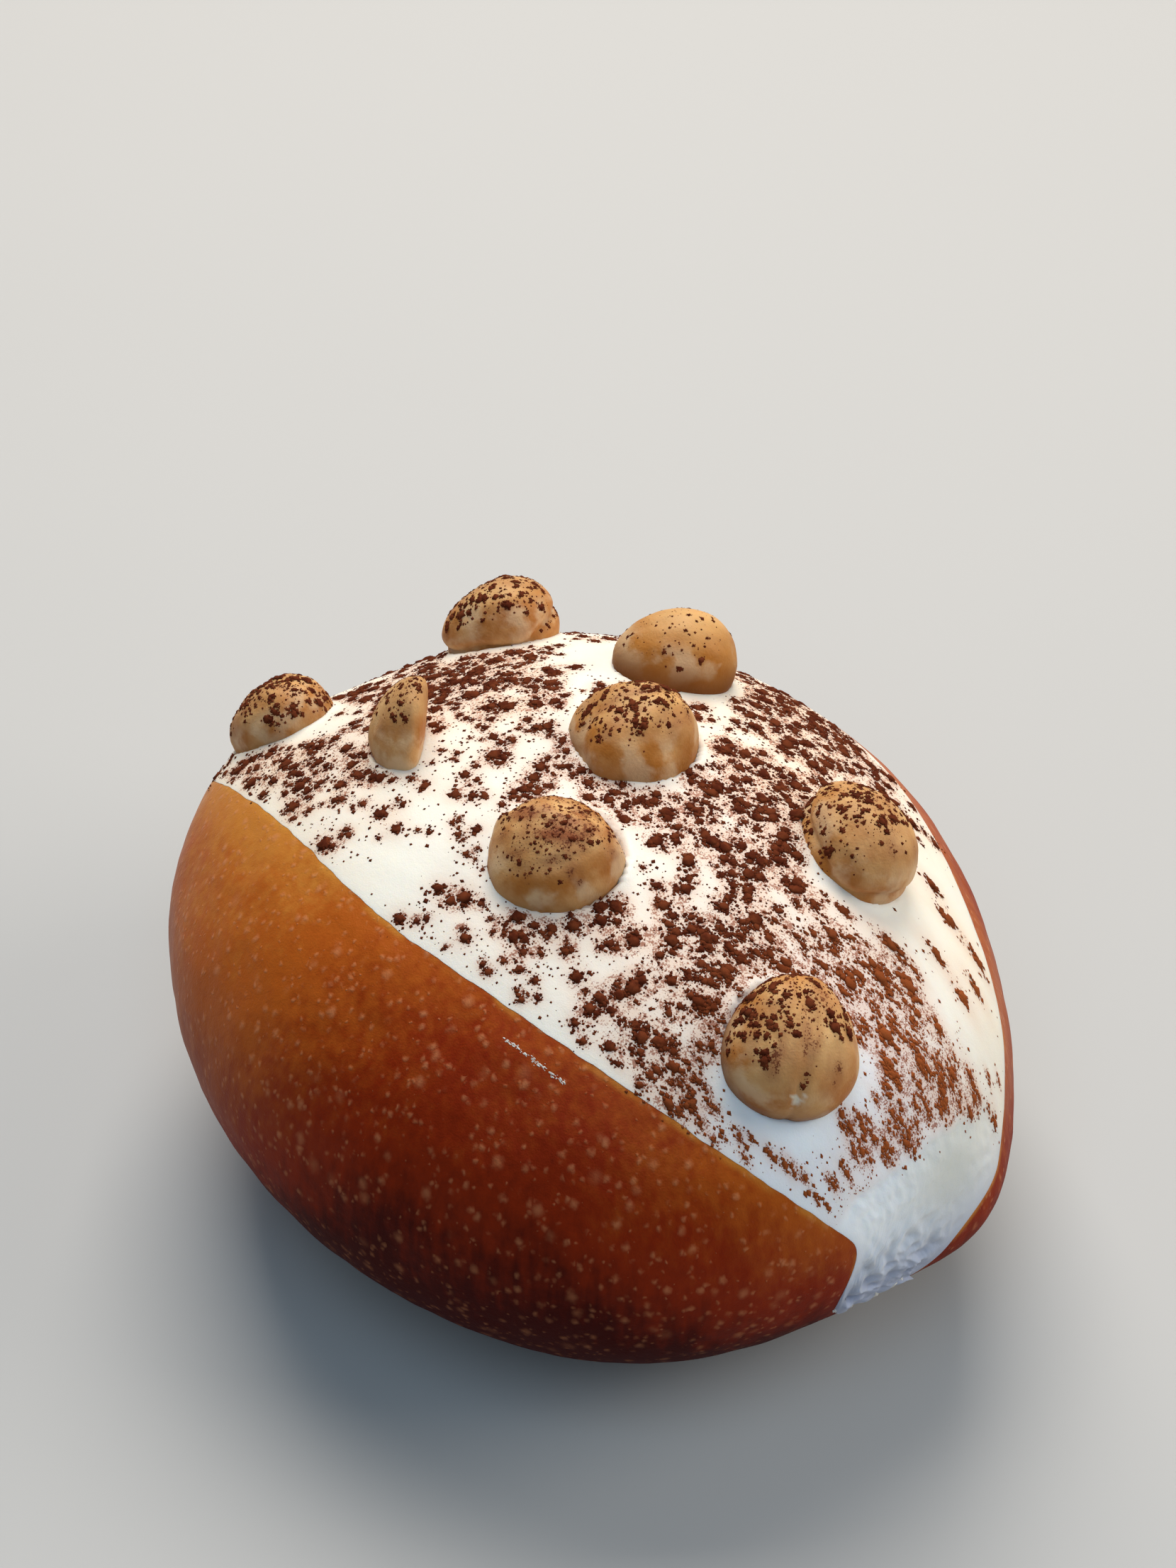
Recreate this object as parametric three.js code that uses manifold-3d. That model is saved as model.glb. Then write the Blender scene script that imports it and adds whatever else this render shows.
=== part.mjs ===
// A maritozzo: a soft round bun cut open along its top and filled with whipped cream that is
// smoothed flush with the crust, with roasted hazelnuts pressed in and cocoa sifted over it.
// Millimetres, +Z up. The cut runs along X, the taller crust half is at -Y, and the origin is
// the middle of the base.

import * as THREE from 'three';
import { mergeVertices } from 'three/addons/utils/BufferGeometryUtils.js';
import Module from 'manifold-3d';

const wasm = await Module();
wasm.setup();

// Bun: a rounded body on a flat base, with powers near 2 for its plan, top and underside
const BUN = {
  halfLength: 52,
  halfWidth: 46,
  height: 60.5,
  equator: 28.4,
  underDepth: 34,
  planPower: 2.08,
  topPower: 2.08,
  underPower: 2.03,
};
const BUN_COLUMNS = 60;
const BUN_UNDER_ROWS = 7;
const BUN_TOP_ROWS = 15;

// Soft swells and hollows of the baked dough: where, how wide, and how far out
const SWELLS = [
  { at: [-48, -11, 40], spread: 10, lift: 2.3 },
  { at: [-40, -22, 28], spread: 12, lift: 1.4 },
  { at: [-10, -44, 20], spread: 14, lift: 0.65 },
  { at: [30, -38, 14], spread: 14, lift: 0.9 },
  { at: [51, 4.6, 20.8], spread: 6.9, lift: 3.1 },
  { at: [45.9, 17.1, 16.2], spread: 8.7, lift: 2.2 },
  { at: [36, 30, 42], spread: 14, lift: -2.3 },
  { at: [-25, 25, 54], spread: 12, lift: 0.5 },
  { at: [-38, 2, 50], spread: 12, lift: -1.2 },
];
const SWELL_FADE_HEIGHT = 6; // swells die out towards the base, which stays flat

// Cut: two walls that open upwards from a hinge line along X, as angles from straight up
const HINGE = new THREE.Vector3(0, -3.15, 18.45);
const LEFT_WALL_FRONT = -34.2;
const LEFT_WALL_BACK = -29.5;
const BACK_TURN = 50; // the left wall reaches its back angle this far round towards -X
const END_WRAP_WALL = -92; // at both ends the filling is spread round below the left wall
const END_WRAP_FROM = 70;
const END_WRAP_TO = 79;
const END_WRAP_POWER = 3; // it turns down slowly at first and then sharply
const RIGHT_WALL = 54.5;
const RIGHT_WALL_END = 34.5; // at both ends the right wall turns in to meet the wrap
const RIGHT_TURN_FROM = 73;
const RIGHT_TURN_TO = 84;
const CUT_ROWS = 60;
const CUT_END = 90; // straight along the hinge line
const CUTTER_REACH = 90; // well past the crust
const CUTTER_COLUMNS = 6;

// Cream
const CLEARANCE = 0.3; // gap kept between neighbouring pieces
const CREAM_HINGE = HINGE.clone().add(new THREE.Vector3(0, 0.35, 0.62)); // clear of both walls
const CREAM_END_INSET = 0.6; // degrees by which the turned walls of the ends stay inside the cut
const CREAM_COLUMNS = 18;

// Hazelnuts: foot on the dome, size of the kernel, which way its tip points in plan, how far
// the tip rises from the dome, how far it is turned about its own length, and how far its
// middle stands above the dome
const HAZELNUTS = [
  { foot: [-32.4, 18.5], length: 14.9, width: 11.6, heading: 215, rise: -12, roll: 0, lift: 1.9 },
  { foot: [-8.9, 23.4], length: 15.0, width: 12.6, heading: 223, rise: -6, roll: 40, lift: 1.5 },
  { foot: [-43.6, -7.5], length: 14.7, width: 10.8, heading: 203, rise: 1, roll: 0, lift: 0.3 },
  {
    foot: [-21.5, -6.1], length: 13.2, width: 11.0, heading: 50, rise: 68, roll: 261, lift: 1.35,
    split: true,
  },
  { foot: [-0.8, 8.4], length: 14.9, width: 14.9, heading: 60, rise: 55, roll: 0, lift: -0.3 },
  { foot: [5.2, -11.2], length: 15.4, width: 15.0, heading: 20, rise: 40, roll: 30, lift: -0.6 },
  { foot: [25.2, 16.2], length: 15.7, width: 12.4, heading: 167, rise: 0, roll: 60, lift: 1.2 },
  { foot: [36.9, -9.5], length: 15.8, width: 14.6, heading: 137, rise: 25, roll: 0, lift: 0.7 },
];
const KERNEL_TAPER = 0.16; // the tip end is this much slimmer, and the other end fuller
const KERNEL_LOBES = 3;
const KERNEL_LOBE_DEPTH = 0.025; // of the radius
const KERNEL_COLUMNS = 18;
const KERNEL_ROWS = 11;
const SPLIT_HALF = 0.08; // share of the width that a split half keeps beyond its middle

// Cocoa: the largest clumps stand out of the cream, finer powder has no thickness here
const CLUMP_COUNT = 90;
const CLUMP_LARGEST = 1.25; // half width
const CLUMP_SMALLEST = 0.85;
const CLUMP_WIDTH_SHARE = 0.8;
const CLUMP_HEIGHT_SHARE = 0.5;
const CLUMP_ALONG_LIMIT = 56; // clumps keep off the scraped ends of the filling
const CLUMP_EDGE_MARGIN = 2.4;
const CLUMP_NUT_MARGIN = 2; // half widths kept clear of a nut
const CLUMP_SPACING = 3.4;
const CLUMP_SEED = 11;
const CLUMP_TRIES = 4000;
const BARE_PATCH = { at: [-8, -21], radius: 9 }; // where little cocoa fell

const MERGE_DISTANCE = 1e-4; // vertices this close are one
const HALVINGS = 40; // steps in the search for a point of the surface

const MATERIALS = {
  crust: new THREE.MeshStandardMaterial({ color: 0xa8581f, roughness: 0.5, metalness: 0 }),
  cream: new THREE.MeshStandardMaterial({ color: 0xf4efe4, roughness: 0.6, metalness: 0 }),
  hazelnut: new THREE.MeshStandardMaterial({ color: 0xb78f57, roughness: 0.45, metalness: 0 }),
};

const { clamp, degToRad, lerp, smoothstep } = THREE.MathUtils;

// Numbers from 0 to 1 that are the same on every run, by a linear congruential rule
function seededRandom(seed) {
  const [factor, step, range] = [1664525, 1013904223, 2 ** 32];
  let state = seed;
  return () => {
    state = (state * factor + step) % range;
    return state / range;
  };
}

// A closed geometry as a solid that can be joined and cut
function toSolid(geometry) {
  const bare = geometry.clone();
  bare.deleteAttribute('normal');
  bare.deleteAttribute('uv');
  const merged = mergeVertices(bare, MERGE_DISTANCE);
  return new wasm.Manifold(new wasm.Mesh({
    numProp: 3,
    vertProperties: new Float32Array(merged.getAttribute('position').array),
    triVerts: new Uint32Array(merged.getIndex().array),
  }));
}

function toGeometry(solid) {
  const mesh = solid.getMesh();
  return indexedGeometry(mesh.vertProperties, mesh.triVerts);
}

function indexedGeometry(positions, triangles) {
  const geometry = new THREE.BufferGeometry();
  geometry.setAttribute('position', new THREE.Float32BufferAttribute(positions, 3));
  geometry.setIndex(Array.from(triangles));
  geometry.computeVertexNormals();
  return geometry;
}

// Radius of the bun at a height, as a share of its radius at the equator
function bunShareAt(z) {
  const rise = z - BUN.equator;
  const depth = rise > 0 ? BUN.height - BUN.equator : BUN.underDepth;
  const power = rise > 0 ? BUN.topPower : BUN.underPower;
  const share = Math.min(1, Math.abs(rise) / depth);
  return (1 - share ** power) ** (1 / power);
}

// Distance of a point from the bun's axis, as a share of the equator's radius that way
function planShare(x, y) {
  const { halfLength, halfWidth, planPower } = BUN;
  const sum = Math.abs(x / halfLength) ** planPower + Math.abs(y / halfWidth) ** planPower;
  return sum ** (1 / planPower);
}

// Moves a point of the plain body outwards by the swells round it
function swollen(point, origin = HINGE) {
  const outward = point.clone().sub(origin).normalize();
  const fade = clamp(point.z / SWELL_FADE_HEIGHT, 0, 1);
  const lift = SWELLS.reduce((sum, swell) => {
    const distance = point.distanceTo(new THREE.Vector3(...swell.at));
    return sum + swell.lift * Math.exp(-0.5 * (distance / swell.spread) ** 2);
  }, 0);
  return point.clone().addScaledVector(outward, lift * fade);
}

// Point of the dome above a place in plan
function domePoint(x, y) {
  const share = (1 - planShare(x, y) ** BUN.topPower) ** (1 / BUN.topPower);
  return swollen(new THREE.Vector3(x, y, BUN.equator + (BUN.height - BUN.equator) * share));
}

// Outward direction of the bun's surface at a point
function surfaceNormal(point) {
  const topDepth = BUN.height - BUN.equator;
  return new THREE.Vector3(
    point.x / BUN.halfLength ** 2,
    point.y / BUN.halfWidth ** 2,
    (point.z - BUN.equator) / topDepth ** 2,
  ).normalize();
}

// Where a ray from inside meets the bun's surface, found by halving
function surfaceAlong(origin, direction) {
  let inside = 0;
  let outside = CUTTER_REACH;
  for (let step = 0; step < HALVINGS; step += 1) {
    const middle = (inside + outside) / 2;
    const point = origin.clone().addScaledVector(direction, middle);
    if (planShare(point.x, point.y) < bunShareAt(point.z)) inside = middle;
    else outside = middle;
  }
  return swollen(origin.clone().addScaledVector(direction, inside), origin);
}

// Heights and radii of the bun's rings, from the edge of the base up to just below the top
function bunRings() {
  const { equator, underDepth, underPower, height, topPower } = BUN;
  const baseTurn = Math.asin((equator / underDepth) ** (underPower / 2));
  const rings = [];
  for (let row = 0; row < BUN_UNDER_ROWS; row += 1) {
    const turn = baseTurn * (1 - row / BUN_UNDER_ROWS);
    const z = Math.max(0, equator - underDepth * Math.sin(turn) ** (2 / underPower));
    rings.push({ z, share: Math.cos(turn) ** (2 / underPower) });
  }
  for (let row = 0; row < BUN_TOP_ROWS; row += 1) {
    const turn = (Math.PI / 2) * (row / BUN_TOP_ROWS);
    const z = equator + (height - equator) * Math.sin(turn) ** (2 / topPower);
    rings.push({ z, share: Math.cos(turn) ** (2 / topPower) });
  }
  return rings;
}

// Point of a ring, on a plan a little squarer than an ellipse
function ringPoint({ z, share }, turn) {
  const squarer = (value) => Math.sign(value) * Math.abs(value) ** (2 / BUN.planPower);
  const x = BUN.halfLength * share * squarer(Math.cos(turn));
  const y = BUN.halfWidth * share * squarer(Math.sin(turn));
  return swollen(new THREE.Vector3(x, y, z));
}

// Closed body of the whole bun: rings between the middle of the base and the top
function bunGeometry() {
  const rings = bunRings();
  const positions = [];
  for (const ring of rings) {
    for (let column = 0; column < BUN_COLUMNS; column += 1) {
      positions.push(...ringPoint(ring, (2 * Math.PI * column) / BUN_COLUMNS));
    }
  }
  positions.push(0, 0, 0, ...swollen(new THREE.Vector3(0, 0, BUN.height)));
  const base = rings.length * BUN_COLUMNS;
  const top = base + 1;
  const lastRing = base - BUN_COLUMNS;
  const triangles = [];
  for (let column = 0; column < BUN_COLUMNS; column += 1) {
    const next = (column + 1) % BUN_COLUMNS;
    triangles.push(base, next, column);
    for (let low = 0; low < lastRing; low += BUN_COLUMNS) {
      const high = low + BUN_COLUMNS;
      triangles.push(low + column, low + next, high + next);
      triangles.push(low + column, high + next, high + column);
    }
    triangles.push(lastRing + column, lastRing + next, top);
  }
  return indexedGeometry(positions, triangles);
}

// Angle of the left wall at a place along the cut, given as an angle towards +X
function leftWallAt(along, inset) {
  const wall = lerp(LEFT_WALL_FRONT, LEFT_WALL_BACK, smoothstep(-along, 0, BACK_TURN));
  const share = (Math.abs(along) - inset - END_WRAP_FROM) / (END_WRAP_TO - END_WRAP_FROM);
  return lerp(wall, END_WRAP_WALL, clamp(share, 0, 1) ** END_WRAP_POWER);
}

// Angle of the right wall at a place along the cut
function rightWallAt(along, inset) {
  const turn = smoothstep(Math.abs(along) + inset, RIGHT_TURN_FROM, RIGHT_TURN_TO);
  return lerp(RIGHT_WALL, RIGHT_WALL_END - inset, turn);
}

// Direction from the hinge line: around it from straight up towards +Y, and along it towards +X
function directionAt(around, along) {
  const turn = degToRad(around);
  const lean = degToRad(along);
  return new THREE.Vector3(
    Math.sin(lean),
    Math.cos(lean) * Math.sin(turn),
    Math.cos(lean) * Math.cos(turn),
  );
}

// Closed wedge between the two walls of the cut, shaped like the segment of an orange: it fans
// out from a centre on the hinge line to the distance that pointAt gives for each direction
function segmentGeometry(centre, pointAt, inset, columns) {
  const ends = [directionAt(0, -CUT_END), directionAt(0, CUT_END)].map(pointAt);
  const positions = [...centre, ...ends[0], ...ends[1]];
  const [hub, backEnd, frontEnd, firstGridVertex] = [0, 1, 2, 3];
  for (let row = 1; row < CUT_ROWS; row += 1) {
    const along = lerp(-CUT_END, CUT_END, row / CUT_ROWS);
    const [left, right] = [leftWallAt(along, inset), rightWallAt(along, inset)];
    for (let column = 0; column <= columns; column += 1) {
      const around = lerp(left, right, column / columns);
      positions.push(...pointAt(directionAt(around, along)));
    }
  }
  const vertexAt = (row, column) => {
    if (row === 0) return backEnd;
    if (row === CUT_ROWS) return frontEnd;
    return firstGridVertex + (row - 1) * (columns + 1) + column;
  };
  const triangles = [];
  for (let row = 0; row < CUT_ROWS; row += 1) {
    for (let column = 0; column < columns; column += 1) {
      const near = vertexAt(row, column);
      const far = vertexAt(row + 1, column);
      const farNext = vertexAt(row + 1, column + 1);
      const nearNext = vertexAt(row, column + 1);
      if (row < CUT_ROWS - 1) triangles.push(near, far, farNext);
      if (row > 0) triangles.push(near, farNext, nearNext);
    }
    triangles.push(hub, vertexAt(row + 1, 0), vertexAt(row, 0));
    triangles.push(hub, vertexAt(row, columns), vertexAt(row + 1, columns));
  }
  return indexedGeometry(positions, triangles);
}

// The bun with its cut: one piece, joined along the bottom
function cutBun() {
  const pointAt = (direction) => HINGE.clone().addScaledVector(direction, CUTTER_REACH);
  const cutter = segmentGeometry(HINGE, pointAt, 0, CUTTER_COLUMNS);
  return toSolid(bunGeometry()).subtract(toSolid(cutter));
}

// The cream before it is pressed and dusted: it fills the cut and is flush with the crust
function plainCream() {
  const pointAt = (direction) => surfaceAlong(CREAM_HINGE, direction);
  return toSolid(segmentGeometry(CREAM_HINGE, pointAt, CREAM_END_INSET, CREAM_COLUMNS));
}

// One kernel along its own Z, with a slimmer tip; grow makes it larger all round
function kernelSolid({ length, width, split }, grow = 0) {
  const geometry = new THREE.SphereGeometry(1, KERNEL_COLUMNS, KERNEL_ROWS).rotateX(Math.PI / 2);
  const place = geometry.getAttribute('position');
  for (let index = 0; index < place.count; index += 1) {
    const [x, y, z] = [place.getX(index), place.getY(index), place.getZ(index)];
    const lobes = 1 + KERNEL_LOBE_DEPTH * Math.cos(KERNEL_LOBES * Math.atan2(y, x));
    const radius = (width / 2 + grow) * (1 - KERNEL_TAPER * z) * lobes;
    place.setXYZ(index, radius * x, radius * y, (length / 2 + grow) * z);
  }
  const kernel = toSolid(geometry);
  if (!split) return kernel;
  const face = width * SPLIT_HALF + grow;
  const side = 2 * length;
  const otherHalf = new THREE.BoxGeometry(side, side, side).translate(0, face + side / 2, 0);
  return kernel.subtract(toSolid(otherHalf));
}

// Place and turn of a kernel that is pressed into the dome
function kernelMatrix({ foot, heading, rise, roll, lift }) {
  const ground = domePoint(...foot);
  const normal = surfaceNormal(ground);
  const plan = new THREE.Vector3(Math.cos(degToRad(heading)), Math.sin(degToRad(heading)), 0);
  const tangent = plan.addScaledVector(normal, -plan.dot(normal)).normalize();
  const tip = tangent.multiplyScalar(Math.cos(degToRad(rise)));
  tip.addScaledVector(normal, Math.sin(degToRad(rise)));
  const side = new THREE.Vector3().crossVectors(normal, tip).normalize();
  const front = new THREE.Vector3().crossVectors(side, tip);
  const turn = new THREE.Matrix4().makeBasis(front, side, tip);
  turn.multiply(new THREE.Matrix4().makeRotationZ(degToRad(roll)));
  return turn.setPosition(ground.addScaledVector(normal, lift));
}

// Places of the cocoa clumps, the largest first, clear of the crust, the nuts and each other
function clumpPlaces() {
  const random = seededRandom(CLUMP_SEED);
  const nuts = HAZELNUTS.map((nut) => ({
    middle: new THREE.Vector3().setFromMatrixPosition(kernelMatrix(nut)),
    reach: nut.length / 2,
  }));
  const [bareX, bareY] = BARE_PATCH.at;
  const places = [];
  for (let tries = 0; tries < CLUMP_TRIES && places.length < CLUMP_COUNT; tries += 1) {
    const along = lerp(-CLUMP_ALONG_LIMIT, CLUMP_ALONG_LIMIT, random());
    const leftWall = leftWallAt(along, CREAM_END_INSET);
    const rightWall = rightWallAt(along, CREAM_END_INSET);
    const around = lerp(leftWall, rightWall, random());
    const spin = random();
    const point = surfaceAlong(CREAM_HINGE, directionAt(around, along));
    const reach = point.distanceTo(CREAM_HINGE) * Math.cos(degToRad(along));
    const edge = degToRad(Math.min(around - leftWall, rightWall - around)) * reach;
    const size = lerp(CLUMP_LARGEST, CLUMP_SMALLEST, places.length / (CLUMP_COUNT - 1));
    const clear = edge > CLUMP_EDGE_MARGIN
      && Math.hypot(point.x - bareX, point.y - bareY) > BARE_PATCH.radius
      && nuts.every((nut) => point.distanceTo(nut.middle) > nut.reach + CLUMP_NUT_MARGIN * size)
      && places.every((place) => point.distanceTo(place.point) > CLUMP_SPACING);
    if (clear) places.push({ point, size, spin: spin * 2 * Math.PI });
  }
  return places;
}

function clumpSolid({ point, size, spin }) {
  const up = new THREE.Vector3(0, 0, 1);
  const upright = new THREE.Quaternion().setFromUnitVectors(up, surfaceNormal(point));
  const clump = new THREE.IcosahedronGeometry(size, 0)
    .scale(1, CLUMP_WIDTH_SHARE, CLUMP_HEIGHT_SHARE)
    .rotateZ(spin)
    .applyQuaternion(upright)
    .translate(...point);
  return toSolid(clump);
}

// The cream, with a socket for each nut and the cocoa clumps fused on
function dustedCream() {
  const socketed = HAZELNUTS.reduce((solid, nut) => {
    const socket = toGeometry(kernelSolid(nut, CLEARANCE)).applyMatrix4(kernelMatrix(nut));
    return solid.subtract(toSolid(socket));
  }, plainCream());
  return clumpPlaces().reduce((solid, place) => solid.add(clumpSolid(place)), socketed);
}

function namedMesh(name, solid, material) {
  const mesh = new THREE.Mesh(toGeometry(solid), material);
  mesh.name = name;
  return mesh;
}

const maritozzo = new THREE.Group();
maritozzo.add(namedMesh('bun', cutBun(), MATERIALS.crust));
maritozzo.add(namedMesh('cream', dustedCream(), MATERIALS.cream));
HAZELNUTS.forEach((nut, index) => {
  const mesh = namedMesh(`hazelnut_${index + 1}`, kernelSolid(nut), MATERIALS.hazelnut);
  mesh.applyMatrix4(kernelMatrix(nut));
  maritozzo.add(mesh);
});

// The middle of the base becomes the origin, by the box round the turned nuts' own vertices
const box = new THREE.Box3().setFromObject(maritozzo, true);
const middle = box.getCenter(new THREE.Vector3());
maritozzo.position.set(-middle.x, -middle.y, -box.min.z);

export default maritozzo;
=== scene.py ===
"""Looks of a maritozzo: baked crust, whipped cream, roasted hazelnuts and sifted cocoa.

The forms are worked out in millimetres in the maker's frame: the cut runs along X, the base lies
on Z = 0 and the middle of the plain bun is the origin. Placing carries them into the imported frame.
"""

import logging
from dataclasses import dataclass
from enum import Enum
from functools import partial, reduce

import bmesh
import bpy
import numpy as np
from mathutils import Matrix


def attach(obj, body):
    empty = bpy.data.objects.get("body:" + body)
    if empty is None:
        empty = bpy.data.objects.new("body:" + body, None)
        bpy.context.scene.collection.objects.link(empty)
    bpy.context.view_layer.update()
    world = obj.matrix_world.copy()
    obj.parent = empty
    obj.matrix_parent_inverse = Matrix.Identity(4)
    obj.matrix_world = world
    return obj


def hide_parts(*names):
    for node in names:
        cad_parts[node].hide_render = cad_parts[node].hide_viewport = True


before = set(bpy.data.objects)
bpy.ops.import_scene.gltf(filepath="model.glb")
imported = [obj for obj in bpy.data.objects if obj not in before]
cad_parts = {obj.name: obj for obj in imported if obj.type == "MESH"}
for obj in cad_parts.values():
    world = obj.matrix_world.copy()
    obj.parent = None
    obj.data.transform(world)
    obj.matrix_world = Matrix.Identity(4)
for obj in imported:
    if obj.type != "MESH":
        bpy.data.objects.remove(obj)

Array = np.ndarray
Point = tuple[float, float, float]
Colour = tuple[float, float, float]
Pair = tuple[float, float]
Random = np.random.Generator
Piece = bpy.types.Object
Material = bpy.types.Material
Node = bpy.types.Node
Socket = bpy.types.NodeSocket

LOG = logging.getLogger("maritozzo")
MM = 0.001  # metres in a millimetre
TINY = 1e-9
MERGE_REACH = 1e-7  # metres between vertices that become one
QUARTER_TURN = 90.0  # degrees
FULL_TURN = 360.0  # degrees
BODY = "root"


def smooth_step(value: Array, low: float, high: float) -> Array:
    """Eases from 0 at low to 1 at high, as three squares less two cubes of the share between."""
    share = np.clip((value - low) / (high - low), 0.0, 1.0)
    return share * share * (3.0 - 2.0 * share)


def unit(vectors: Array) -> Array:
    """Scales vectors, along the last axis, to a length of 1."""
    return vectors / np.maximum(np.linalg.norm(vectors, axis=-1, keepdims=True), TINY)


def bell(points: Array, centre: tuple[float, ...], spread: float) -> Array:
    """Falls from 1 at a centre as e to minus half the square of distance over spread."""
    away = ((points[..., : len(centre)] - np.array(centre)) ** 2).sum(axis=-1)
    return np.exp(-0.5 * away / spread**2)


class LatticeNoise:
    """Smooth noise from about -1 to 1: random slopes on a cubic lattice, blended between corners."""

    TABLE = 256
    GAIN = 1.6
    CORNERS = np.array([(x, y, z) for x in (0, 1) for y in (0, 1) for z in (0, 1)])

    def __init__(self, seed: int) -> None:
        """Draws the order of the lattice and its slopes from a seed.

        Args:
            seed: what the draws start from.
        """
        random = np.random.default_rng(seed)
        self._order = random.permutation(self.TABLE)
        self._slopes = unit(random.normal(size=(self.TABLE, 3)))

    def at(self, points: Array, size: float) -> Array:
        """Noise at points: each corner's slope times the way from it, blended by a fifth power ease.

        Args:
            points: places, with x, y and z along the last axis.
            size: distance from one lattice corner to the next.

        Returns:
            One value for each point.
        """
        place = points / size
        corner = np.floor(place).astype(int)
        within = place - corner
        ease = within**3 * (within * (within * 6.0 - 15.0) + 10.0)
        total = np.zeros(points.shape[:-1])
        for offset in self.CORNERS:
            index = self._order[(corner[..., 0] + offset[0]) % self.TABLE]
            index = self._order[(index + corner[..., 1] + offset[1]) % self.TABLE]
            index = self._order[(index + corner[..., 2] + offset[2]) % self.TABLE]
            weight = np.where(offset == 1, ease, 1.0 - ease).prod(axis=-1)
            total += weight * ((within - offset) * self._slopes[index]).sum(axis=-1)
        return self.GAIN * total

    def layered(self, points: Array, size: float, layers: int) -> Array:
        """Sum of layers of noise, each half as large and half as strong as the one before."""
        return sum(0.5**layer * self.at(points, size * 0.5**layer) for layer in range(layers))


@dataclass(frozen=True)
class Placing:
    """Carries the maker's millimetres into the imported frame's metres."""

    shift: Point

    def to_frame(self, points: Array) -> Array:
        """Moves points by the shift and turns them into metres."""
        return (points + np.array(self.shift)) * MM


@dataclass(frozen=True)
class Swell:
    """A soft swell or hollow of the dough: where, how wide, and how far out."""

    at: Point
    spread: float
    lift: float


@dataclass(frozen=True)
class Dough:
    """Form of the whole bun: a rounded body on a flat base, with soft swells."""

    half_length: float = 52.0
    half_width: float = 46.0
    height: float = 60.5
    equator: float = 28.4
    under_depth: float = 34.0
    plan_power: float = 2.08
    top_power: float = 2.08
    under_power: float = 2.03
    swell_fade: float = 6.0
    hinge: Point = (0.0, -3.15, 18.45)
    reach: float = 90.0
    halvings: int = 32
    rays_around: int = 721
    rays_along: int = 361
    swells: tuple[Swell, ...] = (
        Swell((-48.0, -11.0, 40.0), 10.0, 2.3),
        Swell((-40.0, -22.0, 28.0), 12.0, 1.4),
        Swell((-10.0, -44.0, 20.0), 14.0, 0.65),
        Swell((30.0, -38.0, 14.0), 14.0, 0.9),
        Swell((51.0, 4.6, 20.8), 6.9, 3.1),
        Swell((45.9, 17.1, 16.2), 8.7, 2.2),
        Swell((36.0, 30.0, 42.0), 14.0, -2.3),
        Swell((-25.0, 25.0, 54.0), 12.0, 0.5),
        Swell((-38.0, 2.0, 50.0), 12.0, -1.2),
    )

    def plan_share(self, points: Array) -> Array:
        """Distance from the upright axis as a share of the equator's radius that way."""
        shares = np.abs(points[..., :2] / [self.half_length, self.half_width]) ** self.plan_power
        return shares.sum(axis=-1) ** (1.0 / self.plan_power)

    def height_share(self, z: Array) -> Array:
        """Radius at a height as a share of the equator's; nothing below the base.

        Args:
            z: heights in millimetres.

        Returns:
            One share for each height.
        """
        rise = z - self.equator
        depth = np.where(rise > 0.0, self.height - self.equator, self.under_depth)
        power = np.where(rise > 0.0, self.top_power, self.under_power)
        share = np.clip(np.abs(rise) / depth, 0.0, 1.0)
        return np.where(z < 0.0, 0.0, (1.0 - share**power) ** (1.0 / power))

    def lift(self, points: Array) -> Array:
        """Sum of the swells' bells at points, fading out towards the base."""
        total = sum(swell.lift * bell(points, swell.at, swell.spread) for swell in self.swells)
        return total * np.clip(points[..., 2] / self.swell_fade, 0.0, 1.0)

    def radius(self, directions: Array, start: Array | None = None) -> Array:
        """Distance to the surface along rays from inside, found by halving, with the swells.

        Args:
            directions: unit vectors along the last axis.
            start: where the rays start, or the hinge where it is left out.

        Returns:
            One distance for each ray.
        """
        origin = np.array(self.hinge) if start is None else start
        inside = np.zeros(directions.shape[:-1])
        outside = np.full(directions.shape[:-1], self.reach)
        for _ in range(self.halvings):
            middle = (inside + outside) / 2.0
            points = origin + directions * middle[..., None]
            within = self.plan_share(points) < self.height_share(points[..., 2])
            inside = np.where(within, middle, inside)
            outside = np.where(within, outside, middle)
        return inside + self.lift(origin + directions * inside[..., None])

    def middle(self) -> Array:
        """Middle of the swollen body's box in plan, from rays all round the hinge.

        Returns:
            A point in millimetres.
        """
        around = np.linspace(0.0, FULL_TURN, self.rays_around)
        along = np.linspace(-QUARTER_TURN, QUARTER_TURN, self.rays_along)
        directions = Cut.directions(*np.meshgrid(around, along))
        points = np.array(self.hinge) + directions * self.radius(directions)[..., None]
        flat = points.reshape(-1, 3)
        return (flat.min(axis=0) + flat.max(axis=0)) / 2.0

    def dome(self, foot: Pair) -> Array:
        """Point of the swollen dome above a place in plan.

        Args:
            foot: x and y in millimetres.

        Returns:
            A point in millimetres.
        """
        plan = self.plan_share(np.array([*foot, 0.0]))
        share = (1.0 - plan**self.top_power) ** (1.0 / self.top_power)
        point = np.array([*foot, self.equator + (self.height - self.equator) * share])
        return point + unit(point - np.array(self.hinge)) * self.lift(point)

    def normal(self, points: Array) -> Array:
        """Outward direction of the dome: each coordinate over its half size squared."""
        sizes = np.array([self.half_length, self.half_width, self.height - self.equator])
        return unit((points - np.array([0.0, 0.0, self.equator])) / sizes**2)


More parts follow.
